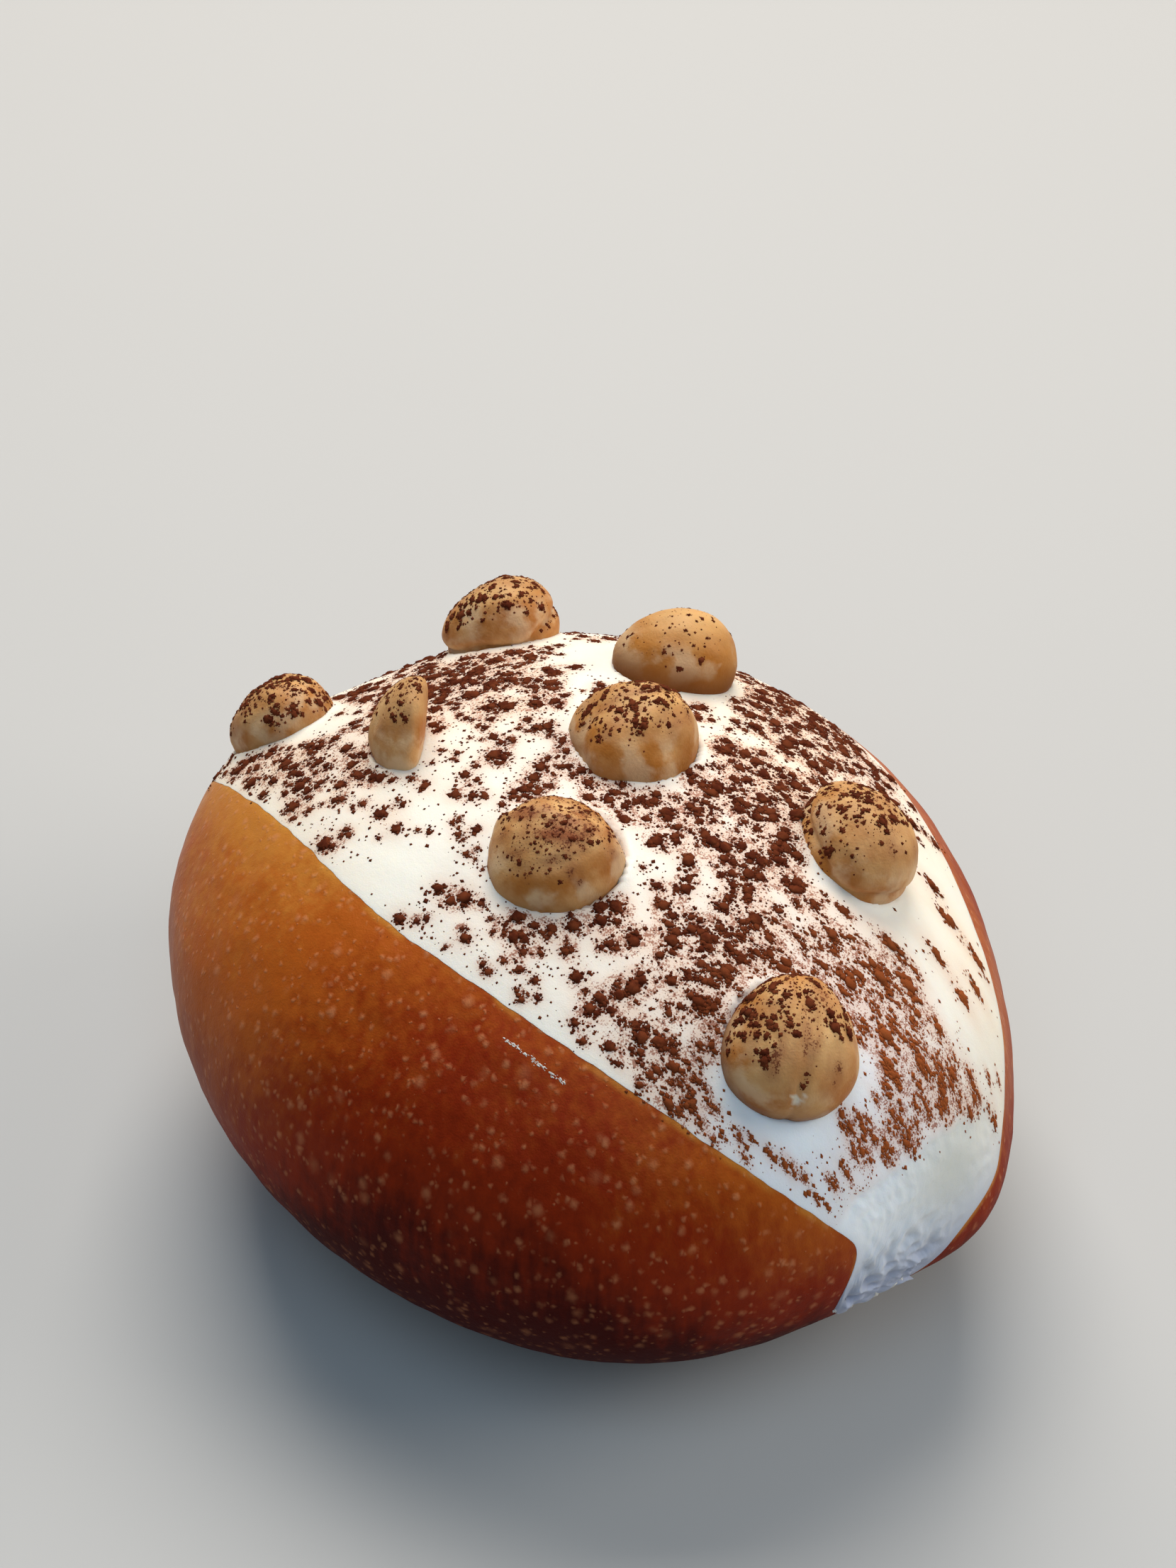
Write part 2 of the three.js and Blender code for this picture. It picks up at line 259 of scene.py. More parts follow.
@dataclass(frozen=True)
class Cut:
    """The cut: two walls that open upwards from the hinge line along X, in degrees from upright."""

    left_front: float = -34.2
    left_back: float = -29.5
    back_turn: float = 50.0
    wrap: float = -92.0
    wrap_from: float = 70.0
    wrap_to: float = 79.0
    wrap_power: float = 3.0
    right: float = 54.5
    right_end: float = 34.5
    right_turn_from: float = 73.0
    right_turn_to: float = 84.0
    waver: float = 0.3
    waver_length: float = 5.0
    left_track: float = 10.0
    right_track: float = 50.0
    noise: LatticeNoise = LatticeNoise(5)

    @staticmethod
    def directions(around: Array, along: Array) -> Array:
        """Unit vectors at angles around the hinge line, from +Z to +Y, and along it towards +X.

        Args:
            around: angles about the hinge line.
            along: angles towards +X.

        Returns:
            Unit vectors along the last axis.
        """
        turn, lean = np.radians(around), np.radians(along)
        across = np.cos(lean)
        return np.stack([np.sin(lean), across * np.sin(turn), across * np.cos(turn)], axis=-1)

    def wavering(self, along: Array, track: float) -> Array:
        """Small wander of a cut edge: layered noise along the cut, different for each side."""
        line = np.stack([along, np.full_like(along, track), np.zeros_like(along)], axis=-1)
        return self.waver * self.noise.layered(line, self.waver_length, layers=3)

    def plain_left_wall(self, along: Array, inset: float = 0.0) -> Array:
        """Angle of the left wall, which wraps round below the cut at both ends.

        Args:
            along: angles towards +X.
            inset: how far inside the wall, in degrees.

        Returns:
            Angles from upright, in degrees.
        """
        back = smooth_step(-along, 0.0, self.back_turn)
        wall = self.left_front + (self.left_back - self.left_front) * back
        share = (np.abs(along) - inset - self.wrap_from) / (self.wrap_to - self.wrap_from)
        return wall + (self.wrap - wall) * np.clip(share, 0.0, 1.0) ** self.wrap_power

    def plain_right_wall(self, along: Array, inset: float = 0.0) -> Array:
        """Angle of the right wall, which turns in at both ends."""
        turn = smooth_step(np.abs(along) + inset, self.right_turn_from, self.right_turn_to)
        return self.right + (self.right_end - inset - self.right) * turn

    def left_wall(self, along: Array) -> Array:
        """Angle of the left wall with its wander."""
        return self.plain_left_wall(along) + self.wavering(along, self.left_track)

    def right_wall(self, along: Array) -> Array:
        """Angle of the right wall with its wander."""
        return self.plain_right_wall(along) + self.wavering(along, self.right_track)


class MeshMaker:
    """Puts grids and lumps into Blender meshes that ride on the body."""

    def __init__(self, placing: Placing) -> None:
        """Keeps the placing for every piece."""
        self.placing = placing

    def _piece(self, name: str, points: Array, faces: Array, attributes: dict[str, Array]) -> Piece:
        """Makes a smooth shaded object from points in millimetres, faces and point attributes.

        Args:
            name: the piece's name.
            points: places, in millimetres.
            faces: rows of vertex numbers.
            attributes: values by name, one for each point.

        Returns:
            The piece.
        """
        mesh = bpy.data.meshes.new(name)
        mesh.from_pydata(self.placing.to_frame(points), [], faces.tolist())
        for label, values in attributes.items():
            layer = mesh.attributes.new(label, "FLOAT", "POINT")
            layer.data.foreach_set("value", values.ravel().astype(np.float32))
        mesh.polygons.foreach_set("use_smooth", np.ones(len(mesh.polygons), dtype=bool))
        return add_object(name, mesh)

    def loop_grid(self, name: str, points: Array, attributes: dict[str, Array]) -> Piece:
        """Closes a grid of rows of closed loops, with the first and last row drawn together.

        Args:
            name: the piece's name.
            points: rows by columns by 3, in millimetres.
            attributes: values by name, rows by columns.

        Returns:
            The piece, with doubled vertices at the poles merged.
        """
        rows, columns = points.shape[:2]
        index = np.arange(rows * columns).reshape(rows, columns)
        following = np.roll(index, -1, axis=1)
        quads = [index[:-1], index[1:], following[1:], following[:-1]]
        faces = np.stack(quads, axis=-1).reshape(-1, 4)
        piece = self._piece(name, points.reshape(-1, 3), faces, attributes)
        self._merge_doubles(piece.data)
        return piece

    def lumps(self, name: str, points: Array, faces: Array) -> Piece:
        """Joins copies of one small closed form: copies by vertices by 3, and the form's faces.

        Args:
            name: the piece's name.
            points: copies by vertices by 3, in millimetres.
            faces: the form's triangles.

        Returns:
            The piece.
        """
        copies, count = points.shape[:2]
        offsets = np.arange(copies)[:, None, None] * count
        return self._piece(name, points.reshape(-1, 3), (faces + offsets).reshape(-1, 3), {})

    @staticmethod
    def _merge_doubles(mesh: bpy.types.Mesh) -> None:
        """Merges vertices that lie on each other.

        Args:
            mesh: what is cleaned.
        """
        work = bmesh.new()
        work.from_mesh(mesh)
        bmesh.ops.remove_doubles(work, verts=work.verts, dist=MERGE_REACH)
        work.to_mesh(mesh)
        work.free()


@dataclass(frozen=True)
class Crust:
    """The baked bun with its cut, as closed loops about the hinge line."""

    dough: Dough
    cut: Cut
    rows: int = 241
    outer_columns: int = 300
    wall_columns: int = 8
    floor_columns: int = 5
    end_crowding: float = 0.9
    lip_radius: float = 0.3
    floor_share: float = 0.06
    lip_fade: float = 0.15
    broad_relief: float = 0.32
    broad_size: float = 17.0
    fine_relief: float = 0.1
    fine_size: float = 4.5
    relief_fade: float = 5.0
    edge_settle: float = 3.5
    bake_least: float = 0.15
    # Darker low down and towards the front: partly deeper baking, partly painted shade.
    bake_and_shade_low: float = 0.57
    bake_and_shade_low_heights: Pair = (4.0, 50.0)
    bake_and_shade_front: float = 0.44
    bake_and_shade_front_places: Pair = (-35.0, 15.0)
    bake_end: float = 0.2
    bake_end_places: Pair = (26.0, 48.0)
    bake_right: float = 0.12
    bake_right_places: Pair = (5.0, 28.0)
    bake_cut: float = 0.12
    bake_cut_reach: float = 10.0
    bake_patch: float = 0.07
    bake_patch_size: float = 15.0
    noise: LatticeNoise = LatticeNoise(21)

    def _columns(self) -> tuple[Array, Array]:
        """Share of the turn and share of the radius for each column of a loop.

        Returns:
            Turn from 0 at the right lip to 1 at the left lip and 2 back at the right wall,
            and the share of the radius, which drops to the floor between the walls.
        """
        even = np.linspace(0.0, 1.0, self.outer_columns)
        outer = even - self.end_crowding * np.sin(2.0 * np.pi * even) / (2.0 * np.pi)
        down = np.linspace(1.0, self.floor_share, self.wall_columns + 1)[1:]
        across = np.linspace(0.0, 1.0, self.floor_columns + 2)[1:-1]
        turn = [outer, np.ones_like(down), 1.0 + across, np.full_like(down, 2.0)]
        share = [np.ones_like(outer), down, np.full_like(across, self.floor_share), down[::-1]]
        return np.concatenate(turn), np.concatenate(share)

    def onto(self, around: Array, along: Array) -> tuple[Array, Array]:
        """Points of the outer face, with its relief, and each one's distance from the nearer lip.

        Args:
            around: angles about the hinge line, from the right wall on to the left one.
            along: angles towards +X.

        Returns:
            Points in millimetres along the last axis, and distances.
        """
        directions = self.cut.directions(around, along)
        radius = self.dough.radius(directions)
        arc = np.radians(1.0) * radius * np.cos(np.radians(along))
        left = self.cut.left_wall(along) + FULL_TURN
        lip = np.minimum(around - self.cut.right_wall(along), left - around) * arc
        hinge = np.array(self.dough.hinge)
        bare = hinge + directions * radius[..., None]
        relief = self.broad_relief * self.noise.layered(bare, self.broad_size, layers=2)
        relief += self.fine_relief * self.noise.layered(bare, self.fine_size, layers=2)
        relief *= np.clip(bare[..., 2] / self.relief_fade, 0.0, 1.0)
        relief *= smooth_step(lip, 0.0, self.edge_settle)
        return bare + directions * relief[..., None], lip

    def _surface(self) -> tuple[Array, Array]:
        """Points of all loops, and each point's distance from the nearer lip.

        Returns:
            Rows by columns by 3 in millimetres, and rows by columns.
        """
        along = np.linspace(-QUARTER_TURN, QUARTER_TURN, self.rows)[:, None]
        turn, share = self._columns()
        right = self.cut.right_wall(along)
        left = self.cut.left_wall(along) + FULL_TURN
        outer = right + (left - right) * np.minimum(turn, 1.0)
        around = outer + (right + FULL_TURN - left) * np.maximum(turn - 1.0, 0.0)
        points, lip = self.onto(around, np.broadcast_to(along, around.shape))
        gap = np.clip(1.0 - lip / self.lip_radius, 0.0, 1.0)
        drop = self.lip_radius * (1.0 - np.sqrt(1.0 - gap**2))
        drop *= np.clip(np.cos(np.radians(along)) / self.lip_fade, 0.0, 1.0)
        hinge = np.array(self.dough.hinge)
        away = points - hinge
        points = hinge + (away - unit(away) * drop[..., None]) * share[:, None]
        return points, np.where(turn <= 1.0, np.maximum(lip, 0.0), 0.0)

    def _bake_and_shade(self, points: Array, lip: Array) -> Array:
        """How dark the crust is baked, with painted shade besides: less so along the cut, at the front
        end and on the right.

        Args:
            points: places on the crust, in millimetres.
            lip: each one's distance from the nearer lip.

        Returns:
            Values from 0 to 1, darker low down and past the middle, partly as painted shade, with soft
            patches.
        """
        # Darker low down and past the middle: partly deeper baking, partly painted shade.
        low = 1.0 - smooth_step(points[..., 2], *self.bake_and_shade_low_heights)
        front = self.bake_and_shade_front * smooth_step(points[..., 0], *self.bake_and_shade_front_places)
        front -= self.bake_end * smooth_step(points[..., 0], *self.bake_end_places)
        front -= self.bake_right * smooth_step(points[..., 1], *self.bake_right_places)
        front -= self.bake_cut * smooth_step(lip, self.bake_cut_reach, 0.0)
        patch = self.noise.layered(points, self.bake_patch_size, layers=3)
        bake_and_shade = self.bake_least + self.bake_and_shade_low * low + front
        return np.clip(bake_and_shade + self.bake_patch * patch, 0.0, 1.0)

    def build(self, maker: MeshMaker, material: Material) -> Piece:
        """Makes the crust piece in place of the bun's solid.

        Args:
            maker: what makes meshes.
            material: its finish.

        Returns:
            The piece.
        """
        points, lip = self._surface()
        # This attribute holds painted shade low down and in front, as well as the baking.
        attributes = {"bake_and_shade": self._bake_and_shade(points, lip), "lip": lip}
        piece = maker.loop_grid("crust", points, attributes)
        return dress(piece, material, "crust", "bun")


@dataclass(frozen=True)
class Kernel:
    """One hazelnut kernel: a tapered, lobed ball along its own Z, pressed into the dome.

    The foot is a place in plan, heading the way its tip points in plan, rise how far the tip rises
    from the dome, roll its turn about its length, and lift how far its middle is above the dome.
    The seam is the groove between its two halves, the flap how far one half stands back, dusting
    how much cocoa lies on it, grit how coarse that is, roast how amber its skin is, shade how much
    painted shade darkens its lower part, and shelter how far from it the cream in its lee stayed clean.
    """

    name: str
    foot: Pair
    length: float
    width: float
    heading: float
    rise: float
    roll: float
    lift: float
    split: bool = False
    seam: float = 0.2
    seam_turn: float = 0.0
    seam_shift: float = 0.0
    seam_width: float = 0.5
    flap: float = 0.0
    mark: Pair | None = None
    mark_size: float = 0.75
    mark_stretch: Point = (1.0, 1.0, 1.5)
    mark_ragged: float = 0.9
    mark_ragged_size: float = 0.7
    mark_edges: Pair = (1.1, 0.5)
    dusting: float = 0.8
    grit: float = 1.0
    roast: float = 0.0
    shade: float = 1.0
    shelter: float = 1.2
    seed: int = 1
    taper: float = 0.16
    lobes: int = 3
    lobe_depth: float = 0.025
    dent: float = 0.2
    dent_size: float = 7.0
    fold: float = 0.06
    folds: float = 5.0
    ridge: float = 0.025
    ridges: float = 17.0
    wander_share: float = 0.7
    fold_wander: float = 2.0
    ridge_wander: float = 2.5
    seam_wander: float = 0.3
    flap_edges: Pair = (-0.2, 0.6)
    face_relief: float = 0.2
    stain_stretch: Point = (1.0, 1.0, 0.4)
    stain_size: float = 2.4
    stain_uneven: float = 0.45
    stain_heights: Pair = (0.4, 1.25)
    stain_seed: int = 50
    split_keep: float = 0.08
    split_round: float = 0.9
    columns: int = 96
    rows: int = 65
    socket_share: float = 0.9
    shade_heights: Pair = (0.42, -0.25)

    def axes(self, dough: Dough) -> tuple[Array, Array]:
        """The kernel's own X, Y and Z directions as rows, and its middle.

        Args:
            dough: form of the bun.

        Returns:
            Unit vectors, 3 by 3, and a point in millimetres.
        """
        ground = dough.dome(self.foot)
        normal = dough.normal(ground)
        heading, rise, roll = np.radians([self.heading, self.rise, self.roll])
        plan = np.array([np.cos(heading), np.sin(heading), 0.0])
        tangent = unit(plan - normal * (plan @ normal))
        tip = tangent * np.cos(rise) + normal * np.sin(rise)
        side = unit(np.cross(normal, tip))
        front = np.cross(side, tip)
        own_x = front * np.cos(roll) + side * np.sin(roll)
        own_y = side * np.cos(roll) - front * np.sin(roll)
        return np.stack([own_x, own_y, tip]), ground + normal * self.lift

    def _bulk(self) -> tuple[Array, Array]:
        """Middle and half sizes of its bulk in its own frame; a split half has less along Y.

        Returns:
            A point and three half sizes, in millimetres.
        """
        if not self.split:
            return np.zeros(3), np.array([self.width, self.width, self.length]) / 2.0
        back, face = -self.width / 2.0, self.width * self.split_keep
        half = np.array([self.width / 2.0, (face - back) / 2.0, self.length / 2.0])
        return np.array([0.0, (face + back) / 2.0, 0.0]), half

    def into_own(self, points: Array, dough: Dough) -> Array:
        """Points in the kernel's own frame, as shares of its half sizes from its bulk's middle.

        Args:
            points: places, in millimetres.
            dough: form of the bun.

        Returns:
            Shares along the last axis.
        """
        axes, middle = self.axes(dough)
        centre, half = self._bulk()
        return ((points - middle) @ axes.T - centre) / half

    def gap(self, points: Array, dough: Dough) -> Array:
        """Rough distance of points from its bulk in millimetres, and 0 inside it."""
        outside = np.linalg.norm(self.into_own(points, dough), axis=-1) - 1.0
        return np.maximum(outside, 0.0) * self.width / 2.0

    def entry(self, origin: Array, directions: Array, dough: Dough) -> Array:
        """Distance along rays at which they enter a slightly smaller plain ball, or infinity.

        Args:
            origin: where the rays start.
            directions: unit vectors along the last axis.
            dough: form of the bun.

        Returns:
            One distance for each ray, in millimetres.
        """
        start = self.into_own(origin, dough) / self.socket_share
        step = (self.into_own(origin + directions, dough) / self.socket_share) - start
        square = (step**2).sum(axis=-1)
        half = (step * start).sum(axis=-1)
        room = half**2 - square * ((start**2).sum(axis=-1) - 1.0)
        root = np.sqrt(np.maximum(room, 0.0))
        return np.where(room > 0.0, (-half - root) / square, np.inf)

    def _own_surface(self, turn: Array, tilt: Array) -> Array:
        """Points of the kernel in its own frame.

        A unit ball is stretched to the kernel's size, slimmer at its tip, with shallow lobes, soft
        dents, folds and fine ridges along its length, and a groove between its two halves.

        Args:
            turn: angle about the length.
            tilt: angle from the tip.

        Returns:
            Points in millimetres along the last axis.
        """
        noise = LatticeNoise(self.seed)
        across = np.sin(tilt)
        radius = self.width / 2.0 * (1.0 - self.taper * np.cos(tilt))
        radius = radius * (1.0 + self.lobe_depth * np.cos(self.lobes * turn)) * across
        points = [radius * np.cos(turn), radius * np.sin(turn), self.length / 2.0 * np.cos(tilt)]
        points = np.stack(points, axis=-1)
        relief = self.dent * noise.layered(points, self.dent_size, layers=3)
        wander = noise.at(points, self.dent_size * self.wander_share)
        relief += self.fold * np.cos(self.folds * turn + self.fold_wander * wander) * across
        relief += self.ridge * np.cos(self.ridges * turn + self.ridge_wander * wander) * across
        bearing = turn - np.radians(self.seam_turn) + self.seam_wander * wander
        aside = np.sin(bearing) * radius - self.seam_shift
        relief -= self.seam * np.exp(-0.5 * (aside / self.seam_width) ** 2)
        relief -= self.flap * smooth_step(aside, *self.flap_edges)
        points = points + unit(points) * relief[..., None]
        if self.split:
            face = self.width * self.split_keep + self.face_relief * relief
            inside = np.logaddexp(0.0, (face - points[..., 1]) / self.split_round)
            points[..., 1] = face - self.split_round * inside
        return points

    def surface(self, turn: Array, tilt: Array, dough: Dough) -> Array:
        """Points of the kernel where it lies on the bun."""
        axes, middle = self.axes(dough)
        return self._own_surface(turn, tilt) @ axes + middle

    def _stain(self, own: Array, above: Array) -> Array:
        """How much cocoa is smudged into the skin: streaks along its length, more towards its top.

        Args:
            own: points in its own frame.
            above: how far each is up out of the cream.

        Returns:
            One value for each point.
        """
        noise = LatticeNoise(self.seed + self.stain_seed)
        streaks = self.stain_uneven * noise.layered(own * self.stain_stretch, self.stain_size, layers=3)
        return self.dusting * smooth_step(above + streaks, *self.stain_heights)

    def _marked(self, own: Array) -> Array:
        """1 at a small pale crack, drawn out towards the tip, and 0 away from it.

        Args:
            own: points in its own frame.

        Returns:
            One value for each point.
        """
        if self.mark is None:
            return np.zeros(own.shape[:-1])
        turn, tilt = np.radians(self.mark)
        centre = self._own_surface(np.array(turn), np.array(tilt))
        away = (own - centre) / self.mark_stretch
        ragged = self.mark_ragged * LatticeNoise(self.seed).at(own, self.mark_ragged_size)
        reach = np.linalg.norm(away, axis=-1) / self.mark_size + ragged
        return smooth_step(reach, *self.mark_edges)

    def build(self, maker: MeshMaker, dough: Dough, material: Material) -> Piece:
        """Makes the kernel's piece in place of its solid, with how far it is up out of the cream.

        Args:
            maker: what makes meshes.
            dough: form of the bun.
            material: its finish.

        Returns:
            The piece.
        """
        turn = np.linspace(2.0 * np.pi, 0.0, self.columns, endpoint=False)[None, :]
        tilt = np.linspace(np.pi, 0.0, self.rows)[:, None]
        turn, tilt = np.broadcast_arrays(turn, tilt)
        own = self._own_surface(turn, tilt)
        axes, middle = self.axes(dough)
        above = own @ axes @ dough.normal(middle) / (self.width / 2.0)
        values = {"above": above, "stain": self._stain(own, above), "mark": self._marked(own)}
        values["roast"] = np.full_like(above, self.roast)
        # Painted shade on the lower part, as much as the kernel's shade says.
        values["low"] = self.shade * smooth_step(above, *self.shade_heights)
        piece = maker.loop_grid(f"kernel_{self.name}", own @ axes + middle, values)
        return dress(piece, material, "hazelnut", f"hazelnut_{self.name}")


KERNELS = (
    Kernel(
        "1", (-32.4, 18.5), 14.9, 11.6, 215, -12, 0, 1.9,
        seam=0.7, seam_turn=60, shade=0.0, seed=1,
    ),
    Kernel(
        "2", (-8.9, 23.4), 15.0, 12.6, 223, -6, 40, 1.5,
        dusting=0.3, grit=0.7, roast=0.6, seed=2,
    ),
    Kernel("3", (-43.6, -7.5), 14.7, 10.8, 203, 1, 0, 0.3, dusting=1.0, shade=0.4, seed=3),
    Kernel(
        "4", (-21.5, -6.1), 13.2, 11.0, 50, 68, 261, 1.35,
        split=True, split_round=1.5, seam=0.0, dusting=0.6, grit=0.6, shade=0.0, seed=4,
    ),
    Kernel(
        "5", (-0.8, 8.4), 14.9, 14.9, 60, 55, 0, -0.3,
        fold=0.18, dusting=0.9, roast=0.3, shade=0.6, shelter=0.4, seed=5,
    ),
    Kernel(
        "6", (5.2, -11.2), 15.4, 15.0, 20, 40, 30, -0.6,
        seam=0.3, seam_turn=-23, seam_shift=3.0, flap=0.45, dusting=1.6, grit=0.55,
        shade=0.5, shelter=0.6, seed=6,
    ),
    Kernel(
        "7", (25.2, 16.2), 15.7, 12.4, 167, 0, 60, 1.2,
        seam=0.45, seam_turn=30, shade=0.1, shelter=2.2, seed=7,
    ),
    Kernel(
        "8", (36.9, -9.5), 15.8, 14.6, 137, 25, 0, 0.7,
        mark=(178, 125), dusting=1.0, grit=1.1, shelter=2.4, seed=8,
    ),
)


@dataclass(frozen=True)
class DustPatch:
    """A place in plan where more or less cocoa fell."""

    x: float
    y: float
    spread: float
    change: float


DUST_PATCHES = tuple(
    DustPatch(*row)
    for row in (  # x and y in plan, how wide, and how much more or less
        (-9.0, -22.0, 6.0, -0.6), (-16.0, 17.0, 6.0, -0.7), (3.0, 21.0, 4.5, -0.6),
        (36.0, 25.0, 8.0, -0.8), (44.0, 19.0, 4.0, -0.6), (42.0, 25.0, 4.5, -1.3),
        (43.0, 14.0, 3.5, -0.8), (43.0, -13.0, 3.5, -0.9), (-18.0, -12.0, 3.5, -0.15),
        (7.0, -25.0, 4.0, -0.35), (0.0, -29.0, 5.0, 0.3), (-12.0, 6.0, 3.5, -0.3),
        (4.0, 32.0, 6.0, 1.5), (48.0, -12.0, 3.5, 0.7), (35.0, -18.0, 4.5, 1.0),
        (12.0, 16.0, 6.0, 0.8), (7.0, 8.0, 5.0, 1.3), (19.0, 8.0, 5.0, 0.6),
        (-18.0, 7.0, 3.5, 0.5), (18.0, -14.0, 4.0, 0.35), (-21.0, -24.0, 5.0, 0.4),
        (-12.0, 12.0, 4.0, 0.4), (-6.0, 0.0, 4.0, 0.4), (6.0, -18.5, 6.0, 0.5),
        (47.0, 3.0, 7.0, 0.8), (-29.0, 8.0, 6.0, 1.1), (-16.0, 4.0, 5.0, 0.2),
        (2.0, 2.0, 4.5, 0.4), (-39.0, -15.0, 6.0, 0.25), (-26.0, -12.0, 4.0, 0.4),
        (28.0, -4.0, 5.0, 0.5),
    )
)


@dataclass(frozen=True)
class Cream:
    """The whipped cream that fills the cut, smoothed flush with the crust."""

    dough: Dough
    cut: Cut
    kernels: tuple[Kernel, ...]
    rows: int = 401
    row_crowding: float = 0.35
    outer_columns: int = 195
    rim_share: float = 0.0004
    wall_columns: int = 5
    floor_share: float = 0.08
    tuck: float = 0.22
    tuck_least: float = 0.2
    proud: float = 0.03
    edge_settle: float = 3.5
    stroke: float = 0.16
    stroke_size: float = 13.0
    stroke_stretch: Point = (0.5, 1.0, 1.0)
    ripple: float = 0.05
    ripple_size: float = 2.6
    ripple_stretch: Point = (0.35, 1.0, 1.0)
    collar: float = 0.35
    collar_width: float = 0.8
    socket_depth: float = 0.4
    scrape_from: float = 66.5
    scrape_to: float = 69.0
    scrape_wander: float = 2.4
    scrape_wander_size: float = 6.0
    scrape_depth: float = 0.3
    worn_calm: float = 0.75
    scrape: float = 0.24
    scrape_size: float = 1.7
    torn: float = 0.75
    torn_size: float = 3.2
    torn_heights: Pair = (33.0, 25.0)
    overhang: float = 0.7
    overhang_turns: Pair = (50.0, 86.0)
    overhang_uneven: Pair = (0.7, 0.5)
    worn_at: Point = (52.0, 2.5, 32.0)
    worn_spread: float = 5.5
    # Painted lavender shade low on the scraped front end, up to these heights.
    painted_shade_heights: Pair = (34.0, 20.0)
    base_dust: float = 0.6
    most_dust: float = 1.4
    # Painted yellowish light at the back and on the right.
    warm_light_back: Pair = (15.0, -40.0)
    warm_light_right: Pair = (4.0, 24.0)
    # Painted bluish shade at the front and on the left.
    cool_shade_front: Pair = (26.0, 44.0)
    cool_shade_left: Pair = (-6.0, 14.0)
    dust_noise: float = 0.2
    dust_noise_size: float = 6.0
    patches: tuple[DustPatch, ...] = DUST_PATCHES
    streak_places: Pair = (16.0, 38.0)
    streak_gain: float = 0.12
    streak: float = 0.45
    streak_length: float = 5.0
    streak_width: float = 1.3
    lee: Point = (0.84, -0.54, 0.0)
    lee_turn: Pair = (-0.1, 0.5)
    halo_reach: float = 1.15
    noise: LatticeNoise = LatticeNoise(33)

    def scraped(self, points: Array, along: Array) -> Array:
        """1 on the rough scraped ends of the filling, past a wandering border, and 0 elsewhere."""
        wander = self.scrape_wander * self.noise.layered(points, self.scrape_wander_size, layers=2)
        return smooth_step(np.abs(along) + wander, self.scrape_from, self.scrape_to)

    def _worn(self, points: Array) -> Array:
        """1 on the patch at the front end that was wiped smooth, falling off round it."""
        return bell(points, self.worn_at, self.worn_spread)

    def _relief(self, points: Array, along: Array) -> Array:
        """Height over the flush surface: spatula strokes and ripples, and scraped, torn ends.

        Args:
            points: places, in millimetres.
            along: angles towards +X.

        Returns:
            Heights in millimetres.
        """
        noise = self.noise
        strokes = self.stroke * noise.layered(points * self.stroke_stretch, self.stroke_size, layers=2)
        ripples = self.ripple * noise.at(points * self.ripple_stretch, self.ripple_size)
        crumbly = self.scrape * noise.layered(points, self.scrape_size, layers=3)
        ridges = 1.0 - 2.0 * np.abs(noise.layered(points, self.torn_size, layers=2))
        ridges = ridges * self.torn * smooth_step(points[..., 2], *self.torn_heights)
        rough = (crumbly + ridges) * (1.0 - self.worn_calm * self._worn(points)) - self.scrape_depth
        return strokes + ripples + rough * self.scraped(points, along)

    def _hanging(self, points: Array, around: Array, along: Array) -> Array:
        """How far the wrapped ends bulge out over the crust below them, unevenly.

        Args:
            points: places, in millimetres.
            around: angles about the hinge line.
            along: angles towards +X.

        Returns:
            Distances in millimetres.
        """
        low = smooth_step(-around, *self.overhang_turns)
        wrapped = smooth_step(np.abs(along), self.cut.wrap_from, self.cut.wrap_to)
        least, more = self.overhang_uneven
        uneven = least + more * self.noise.at(points, self.scrape_size)
        return self.overhang * low * wrapped * uneven

    def surface(self, around: Array, along: Array) -> Array:
        """Points of the cream's outer face: the dough's radius, relief, collars and sockets.

        Args:
            around: angles about the hinge line.
            along: angles towards +X.

        Returns:
            Points in millimetres along the last axis.
        """
        directions = self.cut.directions(around, along)
        hinge = np.array(self.dough.hinge)
        radius = self.dough.radius(directions)
        bare = hinge + directions * radius[..., None]
        left, right = self.span(along)
        arc = np.radians(1.0) * radius * np.cos(np.radians(along))
        edge = np.minimum(around - left, right - around) * arc - self.tuck
        relief = self._relief(bare, along) * smooth_step(edge, 0.0, self.edge_settle)
        radius = radius + self.proud + relief + self._hanging(bare, around, along)
        for kernel in self.kernels:
            gap = kernel.gap(bare, self.dough)
            radius = radius + self.collar * np.exp(-((gap / self.collar_width) ** 2)) * (gap > 0.0)
        for kernel in self.kernels:
            entry = kernel.entry(hinge, directions, self.dough)
            radius = np.minimum(radius, entry + self.socket_depth)
        return hinge + directions * radius[..., None]

    def onto(self, points: Array) -> Array:
        """Points moved along rays from the hinge onto the cream's outer face.

        Args:
            points: places, in millimetres.

        Returns:
            Points in millimetres along the last axis.
        """
        away = unit(points - np.array(self.dough.hinge))
        around = np.degrees(np.arctan2(away[..., 1], away[..., 2]))
        return self.surface(around, np.degrees(np.arcsin(away[..., 0])))

    def span(self, along: Array) -> tuple[Array, Array]:
        """Angles of the two edges of the outer face, tucked a little into the crust.

        Args:
            along: angles towards +X.

        Returns:
            Angles of the left and the right edge, in degrees.
        """
        across = np.maximum(np.cos(np.radians(along)), self.tuck_least)
        tuck = np.degrees(self.tuck / (self.dough.half_width * across))
        return self.cut.left_wall(along) - tuck, self.cut.right_wall(along) + tuck

    def _streaks(self, points: Array) -> Array:
        """More and less cocoa in streaks along the cut on the front slope, none elsewhere.

        Args:
            points: places, in millimetres.

        Returns:
            How much more or less lies at each point.
        """
        x, y, z = points[..., 0], points[..., 1], points[..., 2]
        track = [(x - z) / self.streak_length, y / self.streak_width, np.zeros_like(x)]
        streaks = self.streak * self.noise.layered(np.stack(track, axis=-1), 1.0, layers=2)
        return smooth_step(x, *self.streak_places) * (self.streak_gain + streaks)

